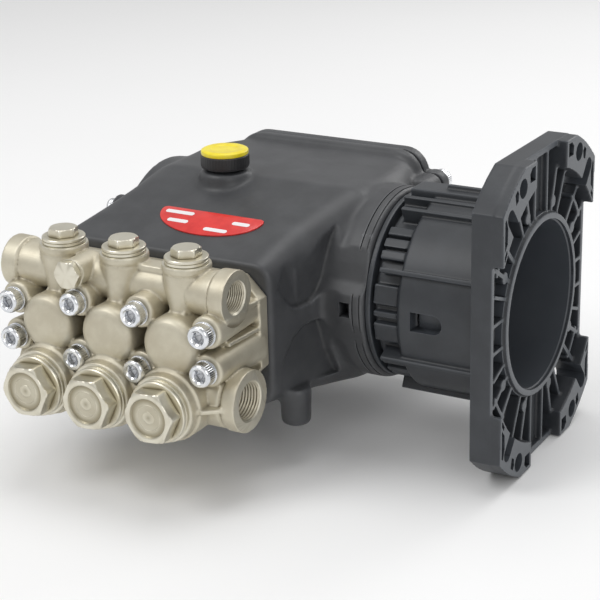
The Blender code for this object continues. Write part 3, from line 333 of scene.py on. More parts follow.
# ---------------------------------------------------------------- finishes
class Wire:
    """A socket of a finish's nodes, with arithmetic."""

    def __init__(self, finish, socket):
        self.finish = finish
        self.socket = socket

    def sum(self, operation, other):
        return self.finish.node("ShaderNodeMath", {"operation": operation}, self, other)

    def __add__(self, other):
        return self.sum("ADD", other)

    def __sub__(self, other):
        return self.sum("SUBTRACT", other)

    def __mul__(self, other):
        return self.sum("MULTIPLY", other)

    __radd__ = __add__
    __rmul__ = __mul__


class Finish:
    """A material under construction."""

    def __init__(self, name, metallic, coat=0.0):
        self.material = bpy.data.materials.new(name)
        self.material.use_nodes = True
        self.tree = self.material.node_tree
        self.shader = self.tree.nodes["Principled BSDF"]
        self.shader.inputs["Metallic"].default_value = metallic
        self.shader.inputs["Coat Weight"].default_value = coat
        self.shader.inputs["Coat Roughness"].default_value = 0.12
        self.place = self.node("ShaderNodeTexCoord", out="Object")

    def feed(self, socket, value):
        if isinstance(value, Wire):
            self.tree.links.new(value.socket, socket)
        else:
            socket.default_value = value

    def node(self, kind, settings=None, *terms, out=0, **sockets):
        """One node: its settings first, then its sockets in order, then its sockets by name."""
        made = self.tree.nodes.new(kind)
        for key, value in (settings or {}).items():
            setattr(made, key, value)
        for socket, value in zip(made.inputs, terms):
            self.feed(socket, value)
        for name, value in sockets.items():
            self.feed(made.inputs[name.replace("_", " ")], value)
        return Wire(self, made.outputs[out])

    def grain(self, scale, detail=2.0, roughness=0.5):
        return self.node("ShaderNodeTexNoise", None, Vector=self.place, Scale=scale, Detail=detail,
                         Roughness=roughness)

    def step(self, value, low, high, start=0.0, end=1.0):
        """Where value goes from low to high, the result goes smoothly from start to end."""
        return self.node("ShaderNodeMapRange", {"interpolation_type": "SMOOTHSTEP"}, value, low, high, start, end)

    def blend(self, share, first, second):
        made = self.tree.nodes.new("ShaderNodeMix")
        made.data_type = "RGBA"
        for socket, value in zip((made.inputs[0], made.inputs[6], made.inputs[7]), (share, first, second)):
            self.feed(socket, (*value, 1.0) if isinstance(value, tuple) and len(value) == 3 else value)
        return Wire(self, made.outputs[2])

    def along_shaft(self, vector):
        return self.node("ShaderNodeSeparateXYZ", None, vector)

    def edges(self):
        """0.5 on flat metal, more on outer edges and less in creases."""
        return self.node("ShaderNodeNewGeometry", out="Pointiness")

    def finished(self, colour, roughness, relief=None, depth=0.0001, strength=0.4):
        self.feed(self.shader.inputs["Base Color"], (*colour, 1.0) if isinstance(colour, tuple) else colour)
        self.feed(self.shader.inputs["Roughness"], roughness)
        if relief is not None:
            bump = self.node("ShaderNodeBump", None, Strength=strength, Distance=depth, Height=relief, out="Normal")
            self.feed(self.shader.inputs["Normal"], bump)
        return self.material


def cast_nickel():
    """Satin nickel over forged brass: fine blasted grain, painted shade darkening the creases, brighter edges."""
    f = Finish("nickel_casting", 0.82)
    fine, broad = f.grain(1900, 3, 0.6), f.grain(60, 4, 0.6)
    # painted shade: the colour darkens where the surface folds inwards, standing in for shade in the creases
    crease_shade = f.step(f.edges(), 0.44, 0.50)
    rub = f.step(f.edges(), 0.515, 0.56)
    tint = f.blend(f.step(broad, 0.35, 0.68), (0.56, 0.515, 0.405), (0.64, 0.60, 0.485))
    # painted shade: dark brown laid into the creases
    tint = f.blend(crease_shade, (0.25, 0.215, 0.15), tint)
    tint = f.blend(rub * 0.6, tint, (0.74, 0.71, 0.60))
    rough = 0.40 + 0.16 * fine - 0.10 * rub + 0.06 * broad
    return f.finished(tint, rough, fine * 0.7 + 0.3 * f.grain(700, 2), 0.00022, 0.35)


def machined_nickel():
    """The same plating on turned and milled faces: fine tool lines, brighter."""
    f = Finish("nickel_machined", 0.88)
    fine, broad = f.grain(1400, 3, 0.6), f.grain(90, 3)
    rub = f.step(f.edges(), 0.51, 0.56)
    # painted shade: the colour darkens in the creases of the turned and milled faces
    crease_shade = f.step(f.edges(), 0.45, 0.497)
    tint = f.blend(f.step(broad, 0.3, 0.7), (0.58, 0.54, 0.43), (0.67, 0.635, 0.52))
    # painted shade: darker colour laid into the creases
    tint = f.blend(crease_shade, (0.32, 0.285, 0.20), tint)
    tint = f.blend(rub * 0.5, tint, (0.80, 0.77, 0.67))
    return f.finished(tint, 0.27 + 0.12 * fine + 0.05 * broad, fine, 0.0001, 0.2)


def black_coat(name, base, lift, roughness, land_highlight=None):
    """Satin black coat over a die casting: faint orange peel, edges rubbed a little lighter, painted shade in the
    creases.

    The land colour is a painted highlight: a lighter colour laid on the flange's rib tops that face along +X.
    """
    f = Finish(name, 0.0, 0.12)
    f.shader.inputs["Coat Roughness"].default_value = 0.35
    fine, broad = f.grain(1500, 3, 0.6), f.grain(45, 4, 0.6)
    rub = f.step(f.edges(), 0.508, 0.56)
    # painted shade: the colour darkens where the surface folds inwards
    crease_shade = f.step(f.edges(), 0.46, 0.499)
    tint = f.blend(f.step(broad, 0.35, 0.7), base, lift)
    # painted shade: creases take a darker copy of the base colour
    tint = f.blend(crease_shade, tuple(0.55 * c for c in base), tint)
    tint = f.blend(rub * 0.55, tint, tuple(2.3 * c for c in lift))
    # painted highlight: rib tops at LAND_X that face along +X are made lighter
    if land_highlight is not None:
        normal = f.node("ShaderNodeNewGeometry", out="Normal")
        rib_top_band = f.step(f.along_shaft(f.place), LAND_X - 0.0008, LAND_X - 0.0002)
        facing = f.step(f.along_shaft(normal), 0.6, 0.9)
        tint = f.blend(rib_top_band * facing, tint, land_highlight)
    rough = roughness + 0.12 * fine - 0.06 * rub + 0.05 * broad
    return f.finished(tint, rough, fine * 0.6 + 0.4 * f.grain(420, 2), 0.00022, 0.30)


def bright_zinc():
    f = Finish("bright_zinc", 1.0)
    fine, cloud = f.grain(900, 3), f.grain(220, 3)
    # painted shade: the colour darkens in creases such as knurl grooves and sockets
    crease_shade = f.step(f.edges(), 0.38, 0.49)
    tint = f.blend(f.step(cloud, 0.35, 0.65), (0.66, 0.68, 0.71), (0.83, 0.84, 0.86))
    # painted shade: darker grey laid into the creases
    tint = f.blend(crease_shade, (0.34, 0.345, 0.36), tint)
    return f.finished(tint, 0.16 + 0.14 * fine, fine, 0.00006, 0.2)


def machined_steel():
    f = Finish("machined_steel", 1.0)
    fine = f.grain(1100, 3)
    tint = f.blend(f.step(f.grain(120, 3), 0.35, 0.65), (0.36, 0.37, 0.39), (0.52, 0.53, 0.55))
    return f.finished(tint, 0.26 + 0.16 * fine, fine, 0.00006, 0.2)


def machined_alloy():
    f = Finish("machined_alloy", 1.0)
    fine = f.grain(1300, 3)
    tint = f.blend(f.step(f.grain(100, 3), 0.35, 0.65), (0.50, 0.51, 0.52), (0.66, 0.67, 0.68))
    return f.finished(tint, 0.32 + 0.16 * fine, fine, 0.00008, 0.2)


def polished_ceramic():
    f = Finish("polished_ceramic", 0.0, 0.4)
    cloud = f.grain(160, 3)
    tint = f.blend(cloud, (0.80, 0.79, 0.73), (0.88, 0.87, 0.83))
    return f.finished(tint, 0.10 + 0.08 * cloud, cloud, 0.00003, 0.1)


def seal_rubber():
    f = Finish("seal_rubber", 0.0)
    fine = f.grain(1200, 3)
    tint = f.blend(fine, (0.012, 0.012, 0.012), (0.028, 0.028, 0.028))
    return f.finished(tint, 0.55 + 0.25 * fine, fine, 0.0001, 0.3)


def moulded_black():
    f = Finish("moulded_black", 0.0)
    fine = f.grain(1600, 3)
    rub = f.step(f.edges(), 0.51, 0.57)
    tint = f.blend(fine, (0.012, 0.012, 0.013), (0.022, 0.022, 0.024))
    return f.finished(f.blend(rub * 0.5, tint, (0.07, 0.07, 0.075)), 0.36 + 0.16 * fine, fine, 0.0001, 0.25)


def moulded_yellow():
    f = Finish("moulded_yellow", 0.0, 0.25)
    fine, cloud = f.grain(1400, 3), f.grain(140, 3)
    tint = f.blend(f.step(cloud, 0.3, 0.7), (0.80, 0.63, 0.010), (0.90, 0.76, 0.022))
    return f.finished(tint, 0.30 + 0.14 * fine, fine, 0.00008, 0.2)


def plate_red():
    f = Finish("name_plate_red", 0.0, 0.3)
    fine, cloud = f.grain(1500, 3), f.grain(120, 3)
    tint = f.blend(f.step(cloud, 0.3, 0.7), (0.62, 0.020, 0.018), (0.74, 0.035, 0.028))
    return f.finished(tint, 0.30 + 0.12 * fine, fine, 0.00005, 0.15)


def plate_white():
    f = Finish("name_plate_white", 0.0, 0.3)
    fine = f.grain(1500, 3)
    tint = f.blend(fine, (0.78, 0.76, 0.78), (0.88, 0.87, 0.88))
    return f.finished(tint, 0.30 + 0.12 * fine, fine, 0.00005, 0.15)


def oil_window():
    f = Finish("oil_window", 0.0, 0.6)
    fill = f.grain(60, 2)
    tint = f.blend(f.step(fill, 0.4, 0.6), (0.62, 0.46, 0.16), (0.74, 0.62, 0.34))
    return f.finished(tint, 0.06 + 0.05 * fill, fill, 0.00003, 0.1)


NICKEL = cast_nickel()
TURNED_NICKEL = machined_nickel()
CASE_BLACK = black_coat("crankcase_black", (0.040, 0.0415, 0.045), (0.056, 0.058, 0.062), 0.40)
# the last colour is a painted highlight on the flange's rib tops
BELL_BLACK = black_coat("bell_black", (0.023, 0.026, 0.031), (0.034, 0.038, 0.044), 0.38,
                        land_highlight=(0.095, 0.104, 0.116))
ZINC = bright_zinc()
STEEL = machined_steel()
ALLOY = machined_alloy()
CERAMIC = polished_ceramic()
RUBBER = seal_rubber()
KNOB_BLACK = moulded_black()
YELLOW = moulded_yellow()
RED = plate_red()
WHITE = plate_white()
WINDOW = oil_window()


# ---------------------------------------------------------------- manifold head
OUTLETS = ((-1, PUMP_X - 0.0735), (1, PUMP_X + 0.0704))     # which way each port faces, and where
INLETS = ((-1, PUMP_X - 0.0645), (1, PUMP_X + 0.0767))
SCREW_X, SCREW_Z = (0.0617, 0.0198), (0.0107, 0.0157)       # outer pairs, inner pairs
THREAD_DEPTH = 0.00085


def screw_places():
    """Head screws as (x, z) in upper and lower pairs, left to right, as the frame numbers them."""
    places = []
    for x, z in ((-SCREW_X[0], SCREW_Z[0]), (-SCREW_X[1], SCREW_Z[1]), (SCREW_X[1], SCREW_Z[1]),
                 (SCREW_X[0], SCREW_Z[0])):
        places += [(PUMP_X + x, z), (PUMP_X + x, -z)]
    return places


def head_back_plate():
    w, top, low, c = 0.0705, 0.0285, -0.034, 0.0115
    outline = [(w, low + c), (w, top - c), (w - c, top), (-w + c, top), (-w, top - c), (-w, low + c),
               (-w + c, low), (w - c, low)]
    return plate("Y", HEAD_JOINT_Y - 0.008, HEAD_JOINT_Y, [(PUMP_X + x, z) for x, z in outline])


def column(x):
    """Delivery valve column: a round seat over a body that narrows towards the dome below it."""
    rows = []
    for z, half_x, half_y in ((PLUG_SEAT_Z - 0.0055, 0.0123, 0.0123), (0.0300, 0.0118, 0.0120),
                              (0.0240, 0.0104, 0.0118), (0.0170, 0.0086, 0.0116), (0.0100, 0.0074, 0.0114),
                              (0.0, 0.0070, 0.0112)):
        rows.append([(x + half_x * math.cos(a), GALLERY_Y - 0.0008 + half_y * math.sin(a), z)
                     for a in (2 * math.pi * k / 48 for k in range(48))])
    return loft(rows)


def dome(x):
    rings = [(0, -0.112), (DOME_R, -0.112), (DOME_R, DOME_Y + 0.0060), (DOME_R - 0.0006, DOME_Y + 0.0038),
             (DOME_R - 0.0020, DOME_Y + 0.0020), (DOME_R - 0.0045, DOME_Y + 0.0009), (0.0060, DOME_Y + 0.0002),
             (0, DOME_Y)]
    return lathe("Y", rings, (x, 0, 0))


def head_forms():
    """Everything of the forged head before it is machined."""
    forms = [head_back_plate(),
             block((PUMP_X - 0.058, -0.121, -0.034), (PUMP_X + 0.058, HEAD_JOINT_Y - 0.004, 0.022)),
             rod("X", PUMP_X - 0.056, PUMP_X + 0.056, (0, GALLERY_Y + 0.0022, DELIVERY_Z - 0.0008), 0.0104),
             rod("X", PUMP_X - 0.062, PUMP_X + 0.066, (0, GALLERY_Y, SUCTION_Z), 0.0165)]
    for (side, outlet), (_, inlet) in zip(OUTLETS, INLETS):
        forms += [
            rod("X", PUMP_X + side * 0.046, outlet - side * 0.011, (0, GALLERY_Y, DELIVERY_Z), 0.0116, 0.0132),
            rod("X", outlet - side * 0.0095, outlet, (0, GALLERY_Y, DELIVERY_Z), 0.0146, 0.0148),
            rod("X", PUMP_X + side * 0.050, inlet - side * 0.004, (0, GALLERY_Y, SUCTION_Z), 0.0150),
            rod("X", inlet - side * 0.0085, inlet, (0, GALLERY_Y, SUCTION_Z), 0.0172),
        ]
        x = PUMP_X + side * SCREW_X[0]
        for z in (SCREW_Z[0], -SCREW_Z[0]):
            wide = 0.0112 if z < 0 else 0.0070
            forms.append(rod("Y", SCREW_SEAT_Y + 0.006, HEAD_JOINT_Y - 0.004, (x, 0, z), 0.0084, wide))
        forms.append(block((x - 0.002, -0.130, -SCREW_Z[0]), (x + 0.002, -0.100, SCREW_Z[0])))
        for z in (-0.0007, 0.0150):
            low, high = sorted((x, x + side * 0.0088))
            forms.append(turn(block((low, -0.1300, z), (high, HEAD_JOINT_Y - 0.004, z + 0.0024)), "Z",
                              side * math.radians(-4), (x, HEAD_JOINT_Y, 0)))
    forms.append(web(PUMP_X + 0.050, INLETS[1][1] - 0.006))
    for x in PLUNGER_X:
        forms += [
            column(x),
            rod("Z", PLUG_SEAT_Z - 0.0062, PLUG_SEAT_Z - 0.0030, (x, GALLERY_Y, 0), 0.0122, 0.0130),
            rod("Z", PLUG_SEAT_Z - 0.0034, PLUG_SEAT_Z, (x, GALLERY_Y, 0), 0.0134),
            dome(x),
            rod("Y", -0.112, CAP_SEAT_Y, (x, 0, SUCTION_Z), 0.0188),
            rod("Y", -0.112, CAP_SEAT_Y + 0.0062, (x, 0, SUCTION_Z), 0.0204),
            block((x - 0.0026, DOME_Y + 0.0012, SUCTION_Z + 0.010), (x + 0.0026, -0.120, -0.008)),
            block((x - 0.0052, -0.1375, 0.006), (x + 0.0052, -0.115, 0.017)),
        ]
    for x in (PUMP_X - 0.020, PUMP_X + 0.020):
        forms.append(block((x - 0.010, -0.1490, SUCTION_Z - 0.0125), (x + 0.010, -0.120, SUCTION_Z + 0.0075)))
        forms.append(block((x - 0.0085, -0.1300, DELIVERY_Z + 0.0086), (x + 0.0085, -0.119, DELIVERY_Z + 0.0112)))
    for x, z in screw_places():
        forms.append(rod("Y", HEAD_JOINT_Y - 0.004, SCREW_SEAT_Y + 0.0012, (x, 0, z), 0.0080, 0.0092))
        forms.append(rod("Y", SCREW_SEAT_Y + 0.0040, SCREW_SEAT_Y, (x, 0, z), 0.0086))
    x, _, z = GAUGE_PLACE
    forms.append(rod("Y", GALLERY_Y, GAUGE_SEAT_Y + 0.0003, (x, 0, z), 0.0080, 0.0074))
    forms.append(rod("X", x - 0.020, x + 0.022, (0, GALLERY_Y + 0.0006, z - 0.0055), 0.0122))
    return forms


def web(x0, x1):
    """The thin triangular web between the end suction boss and an inlet port."""
    rows = [(x0, -0.1520), (x0 + 0.012, -0.1500), (x1, -0.1432), (x1, -0.126), (x0, -0.126)]
    return plate("Z", SUCTION_Z - 0.0012, SUCTION_Z + 0.0012, rows)


def head_cuts():
    """Everything machined into the head: ports with their threads, plug seats and screw seats."""
    cuts = []
    for ports, z, bore, core, pitch in ((OUTLETS, DELIVERY_Z, 0.00833, 0.0062, 0.00134),
                                        (INLETS, SUCTION_Z, 0.01048, 0.0085, 0.00181)):
        centre = (0, GALLERY_Y, z)
        for side, face in ports:
            cuts.append(thread("X", face - side * 0.0135, face + side * OVER, centre, bore + 0.0005, pitch,
                               THREAD_DEPTH))
            cuts.append(rod("X", face + side * 0.0001, face - side * 0.0016, centre, bore + 0.0014, bore - 0.0004))
            cuts.append(rod("X", face - side * 0.030, face - side * 0.0130, centre, core))
    for x in PLUNGER_X:
        cuts.append(rod("Z", PLUG_SEAT_Z - 0.0085, PLUG_SEAT_Z + OVER, (x, GALLERY_Y, 0), 0.0091))
        cuts.append(rod("Y", CAP_SEAT_Y - OVER, CAP_SEAT_Y + 0.013, (x, 0, SUCTION_Z), 0.0123))
    for x, z in screw_places():
        cuts.append(rod("Y", SCREW_SEAT_Y + 0.010, SCREW_SEAT_Y - OVER, (x, 0, z), 0.0043, sides=32))
    return cuts


def make_head():
    head = emit("head_casting", gathered(head_forms()))
    skin(head, 0.00062, 8)
    faces = []
    for ports, z, radius in ((OUTLETS, DELIVERY_Z, 0.0160), (INLETS, SUCTION_Z, 0.0190)):
        for side, face in ports:
            faces.append(rod("X", face - side * 0.00025, face + side * 0.002, (0, GALLERY_Y, z), radius))
    cut_each(head, faces + head_cuts())
    fit_out(head, NICKEL, nodes=["manifold_head"], angle=38)
    rings = []
    for x in PLUNGER_X:
        rings.append(lathe("Z", eased([(0.0091, PLUG_SEAT_Z + 0.0002), (0.0131, PLUG_SEAT_Z + 0.0002),
                                       (0.0131, PLUG_SEAT_Z - 0.0012), (0.0126, PLUG_SEAT_Z - 0.0016),
                                       (0.0131, PLUG_SEAT_Z - 0.0020), (0.0131, PLUG_SEAT_Z - 0.0032),
                                       (0.0091, PLUG_SEAT_Z - 0.0032)], 0.0002, 2), (x, GALLERY_Y, 0)))
        rings.append(lathe("Y", eased([(0.0123, CAP_SEAT_Y + 0.003), (0.0183, CAP_SEAT_Y + 0.003),
                                       (0.0183, CAP_SEAT_Y - 0.0001), (0.0123, CAP_SEAT_Y - 0.0001)], 0.0004, 2),
                           (x, 0, SUCTION_Z)))
    seats = emit("plug_and_cap_seats", gathered(rings))
    fit_out(seats, TURNED_NICKEL)


def make_suction_cap(number, x):
    """Big hexagon cap: round collar with two grooves, chamfered hexagon and a dished, faintly ringed face."""
    seat = CAP_SEAT_Y - 0.0003
    front = -0.1688
    hexa = hexagon(0.0270, math.radians(5))
    rings = [(0, seat + 0.0120), (0.0120, seat + 0.0120), (0.0120, seat), (0.0166, seat), (0.0172, seat - 0.0005),
             (0.0172, seat - 0.0014), (0.0166, seat - 0.0018), (0.0166, seat - 0.0022), (0.0172, seat - 0.0026),
             (0.0172, seat - 0.0039), (0.0167, seat - 0.0045), (within(hexa, 0.0162), seat - 0.0045),
             (hexa, seat - 0.0051), (hexa, front + 0.0016), (within(hexa, 0.01505), front + 0.0010),
             (within(hexa, 0.0141), front + 0.0003), (within(hexa, 0.01330), front), (0.0116, front),
             (0.0110, front + 0.0003), (0.0107, front + 0.0010), (0.0103, front + 0.0013),
             (0.0074, front + 0.0013), (0.0071, front + 0.0011), (0.0068, front + 0.0013), (0.0036, front + 0.0013),
             (0.0034, front + 0.00115), (0.0031, front + 0.0013), (0, front + 0.0013)]
    cap = emit(f"suction_cap_{number}_turned", lathe("Y", rings, (x, 0, SUCTION_Z)))
    fit_out(cap, TURNED_NICKEL, nodes=[f"suction_cap_{number}"], angle=26)


def make_delivery_plug(number, x):
    seat = PLUG_SEAT_Z + 0.0003
    top = 0.0497
    hexa = hexagon(0.0145, math.radians(8 * number))
    rings = [(0, seat - 0.008), (0.0088, seat - 0.008), (0.0088, seat), (0.0114, seat), (0.0119, seat + 0.0004),
             (0.0119, seat + 0.0016), (0.0115, seat + 0.0019), (0.0119, seat + 0.0022), (0.0119, seat + 0.0033),
             (0.0116, seat + 0.0037), (0.0090, seat + 0.0038), (within(hexa, 0.0080), seat + 0.0038),
             (hexa, seat + 0.0042), (hexa, top - 0.0010), (within(hexa, 0.0078), top - 0.0004),
             (within(hexa, 0.00715), top), (0, top + 0.0001)]
    plug = emit(f"delivery_plug_{number}_turned", lathe("Z", rings, (x, GALLERY_Y, 0)))
    fit_out(plug, TURNED_NICKEL, nodes=[f"delivery_plug_{number}"], angle=26)


def make_gauge_plug():
    seat, front = GAUGE_SEAT_Y - 0.0003, GAUGE_SEAT_Y - 0.0055
    hexa = hexagon(0.0147, math.radians(4))
    rings = [(0, seat + 0.006), (0.0041, seat + 0.006), (0.0041, seat), (0.0076, seat), (0.0081, seat - 0.0004),
             (0.0081, seat - 0.0010), (within(hexa, 0.0078), seat - 0.0012), (hexa, seat - 0.0016),
             (hexa, front + 0.0008), (within(hexa, 0.0078), front + 0.0003), (within(hexa, 0.0072), front),
             (0, front - 0.0001)]
    plug = emit("gauge_plug_turned", lathe("Y", rings, GAUGE_PLACE))
    fit_out(plug, TURNED_NICKEL, nodes=["gauge_plug"], angle=26)


# ---------------------------------------------------------------- screws
def socket_screw(name, axis, seat, out, centre, radius, length, flats, nodes, shank=0.0, shank_r=0.004):
    """A knurled socket head screw; out is which way along the axis it faces."""
    def h(value):
        return seat + out * value
    grip = knurl(radius, 0.00022, 40)
    hexa = hexagon(flats, 0.2)
    depth = length * 0.55
    rings = [(0, h(-shank)), (shank_r, h(-shank)), (shank_r, h(0.0002)), (radius * 0.94, h(0.0002)),
             (radius * 0.98, h(0.0006)), (grip, h(0.0012)), (grip, h(length - 0.0018)),
             (radius * 0.985, h(length - 0.0012)), (radius * 0.93, h(length - 0.0004)),
             (radius * 0.85, h(length)), (flats * 0.68, h(length)),
             (flats * 0.62, h(length - 0.0005)), (hexa, h(length - 0.0009)), (hexa, h(length - depth)),
             (0, h(length - depth - 0.0012))]
    fit_out(emit(name, lathe(axis, rings, centre, 120)), ZINC, nodes=nodes, angle=30)


def washer(name, axis, seat, out, centre, radius, bore, thick):
    rings = eased([(bore, seat), (radius, seat), (radius, seat + out * thick), (bore, seat + out * thick)], 0.0002, 2)
    fit_out(emit(name, lathe(axis, rings, centre, 48)), ZINC)


def make_head_screws():
    for number, (x, z) in enumerate(screw_places(), 1):
        seat = SCREW_SEAT_Y - 0.0003
        socket_screw(f"head_screw_{number}_knurled", "Y", seat - 0.0008, -1, (x, 0, z), 0.0066, 0.0070, 0.0062,
                     [f"head_screw_{number}"], shank=0.008)
        washer(f"head_screw_{number}_washer", "Y", seat, -1, (x, 0, z), 0.0070, 0.0045, 0.0010)


# ---------------------------------------------------------------- crankcase
def slope(y, low, high):
    """What goes from low at the head joint to high at the shoulder, and stays there."""
    share = min((y - HEAD_JOINT_Y) / (SHOULDER_Y - HEAD_JOINT_Y), 1.0)
    return low + (high - low) * share


def case_section(y, x0, x1, radius):
    bottom, top = slope(y, NECK_BOTTOM, CASE_BOTTOM), slope(y, NECK_TOP, CASE_TOP)
    return [(x, y, z) for x, z in rounded(x0, x1, bottom, top, radius)]


def lug_places():
    """The four lugs that hold the rear cover, as (side, level, x, z)."""
    return [(sx, sz, CASE_X + sx * 0.0685, sz * 0.040) for sx in (-1, 1) for sz in (-1, 1)]


def foot_places():
    return [(CASE_X + sx * 0.0485, y) for sx in (-1, 1) for y in (-0.072, 0.046)]


def flank(y):
    """How far the right flank stands out, front to back."""
    stops = [(-0.095, -0.1241), (-0.064, -0.1175), (-0.018, -0.0980), (0.034, -0.1020), (0.063, -0.110)]
    for (y0, x0), (y1, x1) in zip(stops, stops[1:]):
        if y <= y1:
            return x0 + (x1 - x0) * (y - y0) / (y1 - y0)
    return stops[-1][1]


def case_forms():
    """The casting as stations from the head joint to the cover joint, its bosses, rim, lugs and feet."""
    left, right = -0.2525, -0.098
    rows = [(-0.0947, PUMP_X - 0.0715, PUMP_X + 0.0715, 0.010), (-0.085, -0.2650, -0.1218, 0.012),
            (-0.064, -0.2600, -0.1175, 0.015), (-0.040, -0.2555, -0.1075, 0.018), (SHOULDER_Y, left, right, 0.020),
            (0.010, left, right - 0.0005, 0.020), (0.034, left, right - 0.004, 0.018),
            (0.048, -0.2425, -0.106, 0.017), (0.0625, CASE_X - 0.061, CASE_X + 0.061, 0.015)]
    forms = [loft([case_section(*row) for row in rows]),
             rod("X", -0.112, -0.088, (0, 0, 0), 0.0552, sides=128),
             rod("X", -0.1030, -0.0905, (0, 0, 0), 0.0560, sides=128),
             rod("X", -0.254, -0.235, (0, 0, 0), 0.0552, sides=128),
             rod("X", -0.1190, -0.1000, (0, 0, 0), 0.0500, 0.0548, sides=128),
             rod("Z", CASE_TOP - 0.006, CASE_TOP + 0.0030, (*FILLER_PLACE, 0), 0.0160, 0.0150)]
    rim = rounded(CASE_X - 0.064, CASE_X + 0.064, CASE_BOTTOM - 0.003, CASE_TOP + 0.0034, 0.016)
    forms.append(plate("Y", COVER_JOINT_Y - 0.0065, COVER_JOINT_Y + 0.0008, rim))
    for sx, sz, x, z in lug_places():
        forms.append(rod("Y", COVER_JOINT_Y - 0.018, COVER_JOINT_Y + 0.0008, (x, 0, z), 0.0085))
        forms.append(rod("Y", COVER_JOINT_Y - 0.034, COVER_JOINT_Y - 0.016, (x - sx * 0.005, 0, z - sz * 0.002),
                         0.0055, 0.0085))
    for x, y in foot_places():
        forms.append(rod("Z", -0.066, slope(y, NECK_BOTTOM, CASE_BOTTOM) + 0.008, (x, y, 0), 0.0085, 0.0092))
    return forms


def flank_hollows():
    """Sculpted hollows of the right flank: an upper one under the shoulder and a lower arch.

    Each is a tilted slab that sinks into the flank from its front end towards the boss.
    """
    upper = [(-0.0885, 0.0185), (-0.084, 0.0110), (-0.0765, 0.0045), (-0.070, 0.0030), (-0.062, 0.0036),
             (-0.0555, 0.0077), (-0.0505, 0.0154), (-0.0478, 0.0249), (-0.0432, 0.0373), (-0.0365, 0.0500),
             (-0.0310, 0.0590), (-0.048, 0.0600), (-0.066, 0.0500), (-0.080, 0.0380)]
    lower = [(-0.0555, -0.0075), (-0.0678, -0.0085), (-0.0758, -0.0125), (-0.0822, -0.0195), (-0.088, -0.0300),
             (-0.088, -0.0440), (-0.0420, -0.0440), (-0.0450, -0.0379), (-0.0499, -0.0271), (-0.0523, -0.0172)]
    hollows = []
    for outline in (upper, lower):
        form = plate("X", -0.1420, -0.085, outline)
        for vert in form.verts:
            if vert.co.x < -0.1:
                share = max(0.0, min(1.0, (vert.co.y + 0.090) / 0.045))
                fade = max(0.0, min(1.0, (0.064 - vert.co.z) / 0.020))
                vert.co.x = flank(vert.co.y) - 0.0052 * share * fade - 0.0002
        bmesh.ops.recalc_face_normals(form, faces=form.faces)
        hollows.append(form)
    return hollows


def make_crankcase():
    case = emit("crankcase_casting", gathered(case_forms()))
    skin(case, 0.0013, 14)
    cut(case, flank_hollows())
    skin(case, 0.0009, 5)
    crisp = [
        block((CASE_X - 0.1, COVER_JOINT_Y, -0.1), (CASE_X + 0.1, COVER_JOINT_Y + 0.005, 0.1)),
        block((PUMP_X - 0.1, -0.12, -0.1), (PUMP_X + 0.1, HEAD_JOINT_Y + 0.0005, 0.1)),
        rod("X", -0.0883, -0.080, (0, 0, 0), 0.060),
        rod("X", -0.259, -0.2537, (0, 0, 0), 0.0562, sides=128),
        rod("Z", CASE_TOP + 0.0032, CASE_TOP + 0.008, (*FILLER_PLACE, 0), 0.020),
    ]
    for form in crisp:
        cut(case, [form])
    for x in (-0.0946, -0.0906):
        groove = [(0.0552, x - 0.0004), (0.0600, x - 0.0004), (0.0600, x + 0.0004), (0.0552, x + 0.0004)]
        cut(case, [lathe("X", groove, (0, 0, 0), 160)])
    slot = block((-0.1030, -0.0600, -0.0048), (-0.0965, -0.0460, 0.0040))
    cut(case, [slot])
    bores = [rod("X", -0.092, -0.085, (0, 0, 0), 0.0313),
             rod("Z", CASE_TOP - 0.010, CASE_TOP + 0.008, (*FILLER_PLACE, 0), 0.0095)]
    bores += [rod("Z", -0.070, -0.054, (x, y, 0), 0.0034) for x, y in foot_places()]
    cut_each(case, bores)
    fit_out(case, CASE_BLACK, nodes=["crankcase"], angle=38)


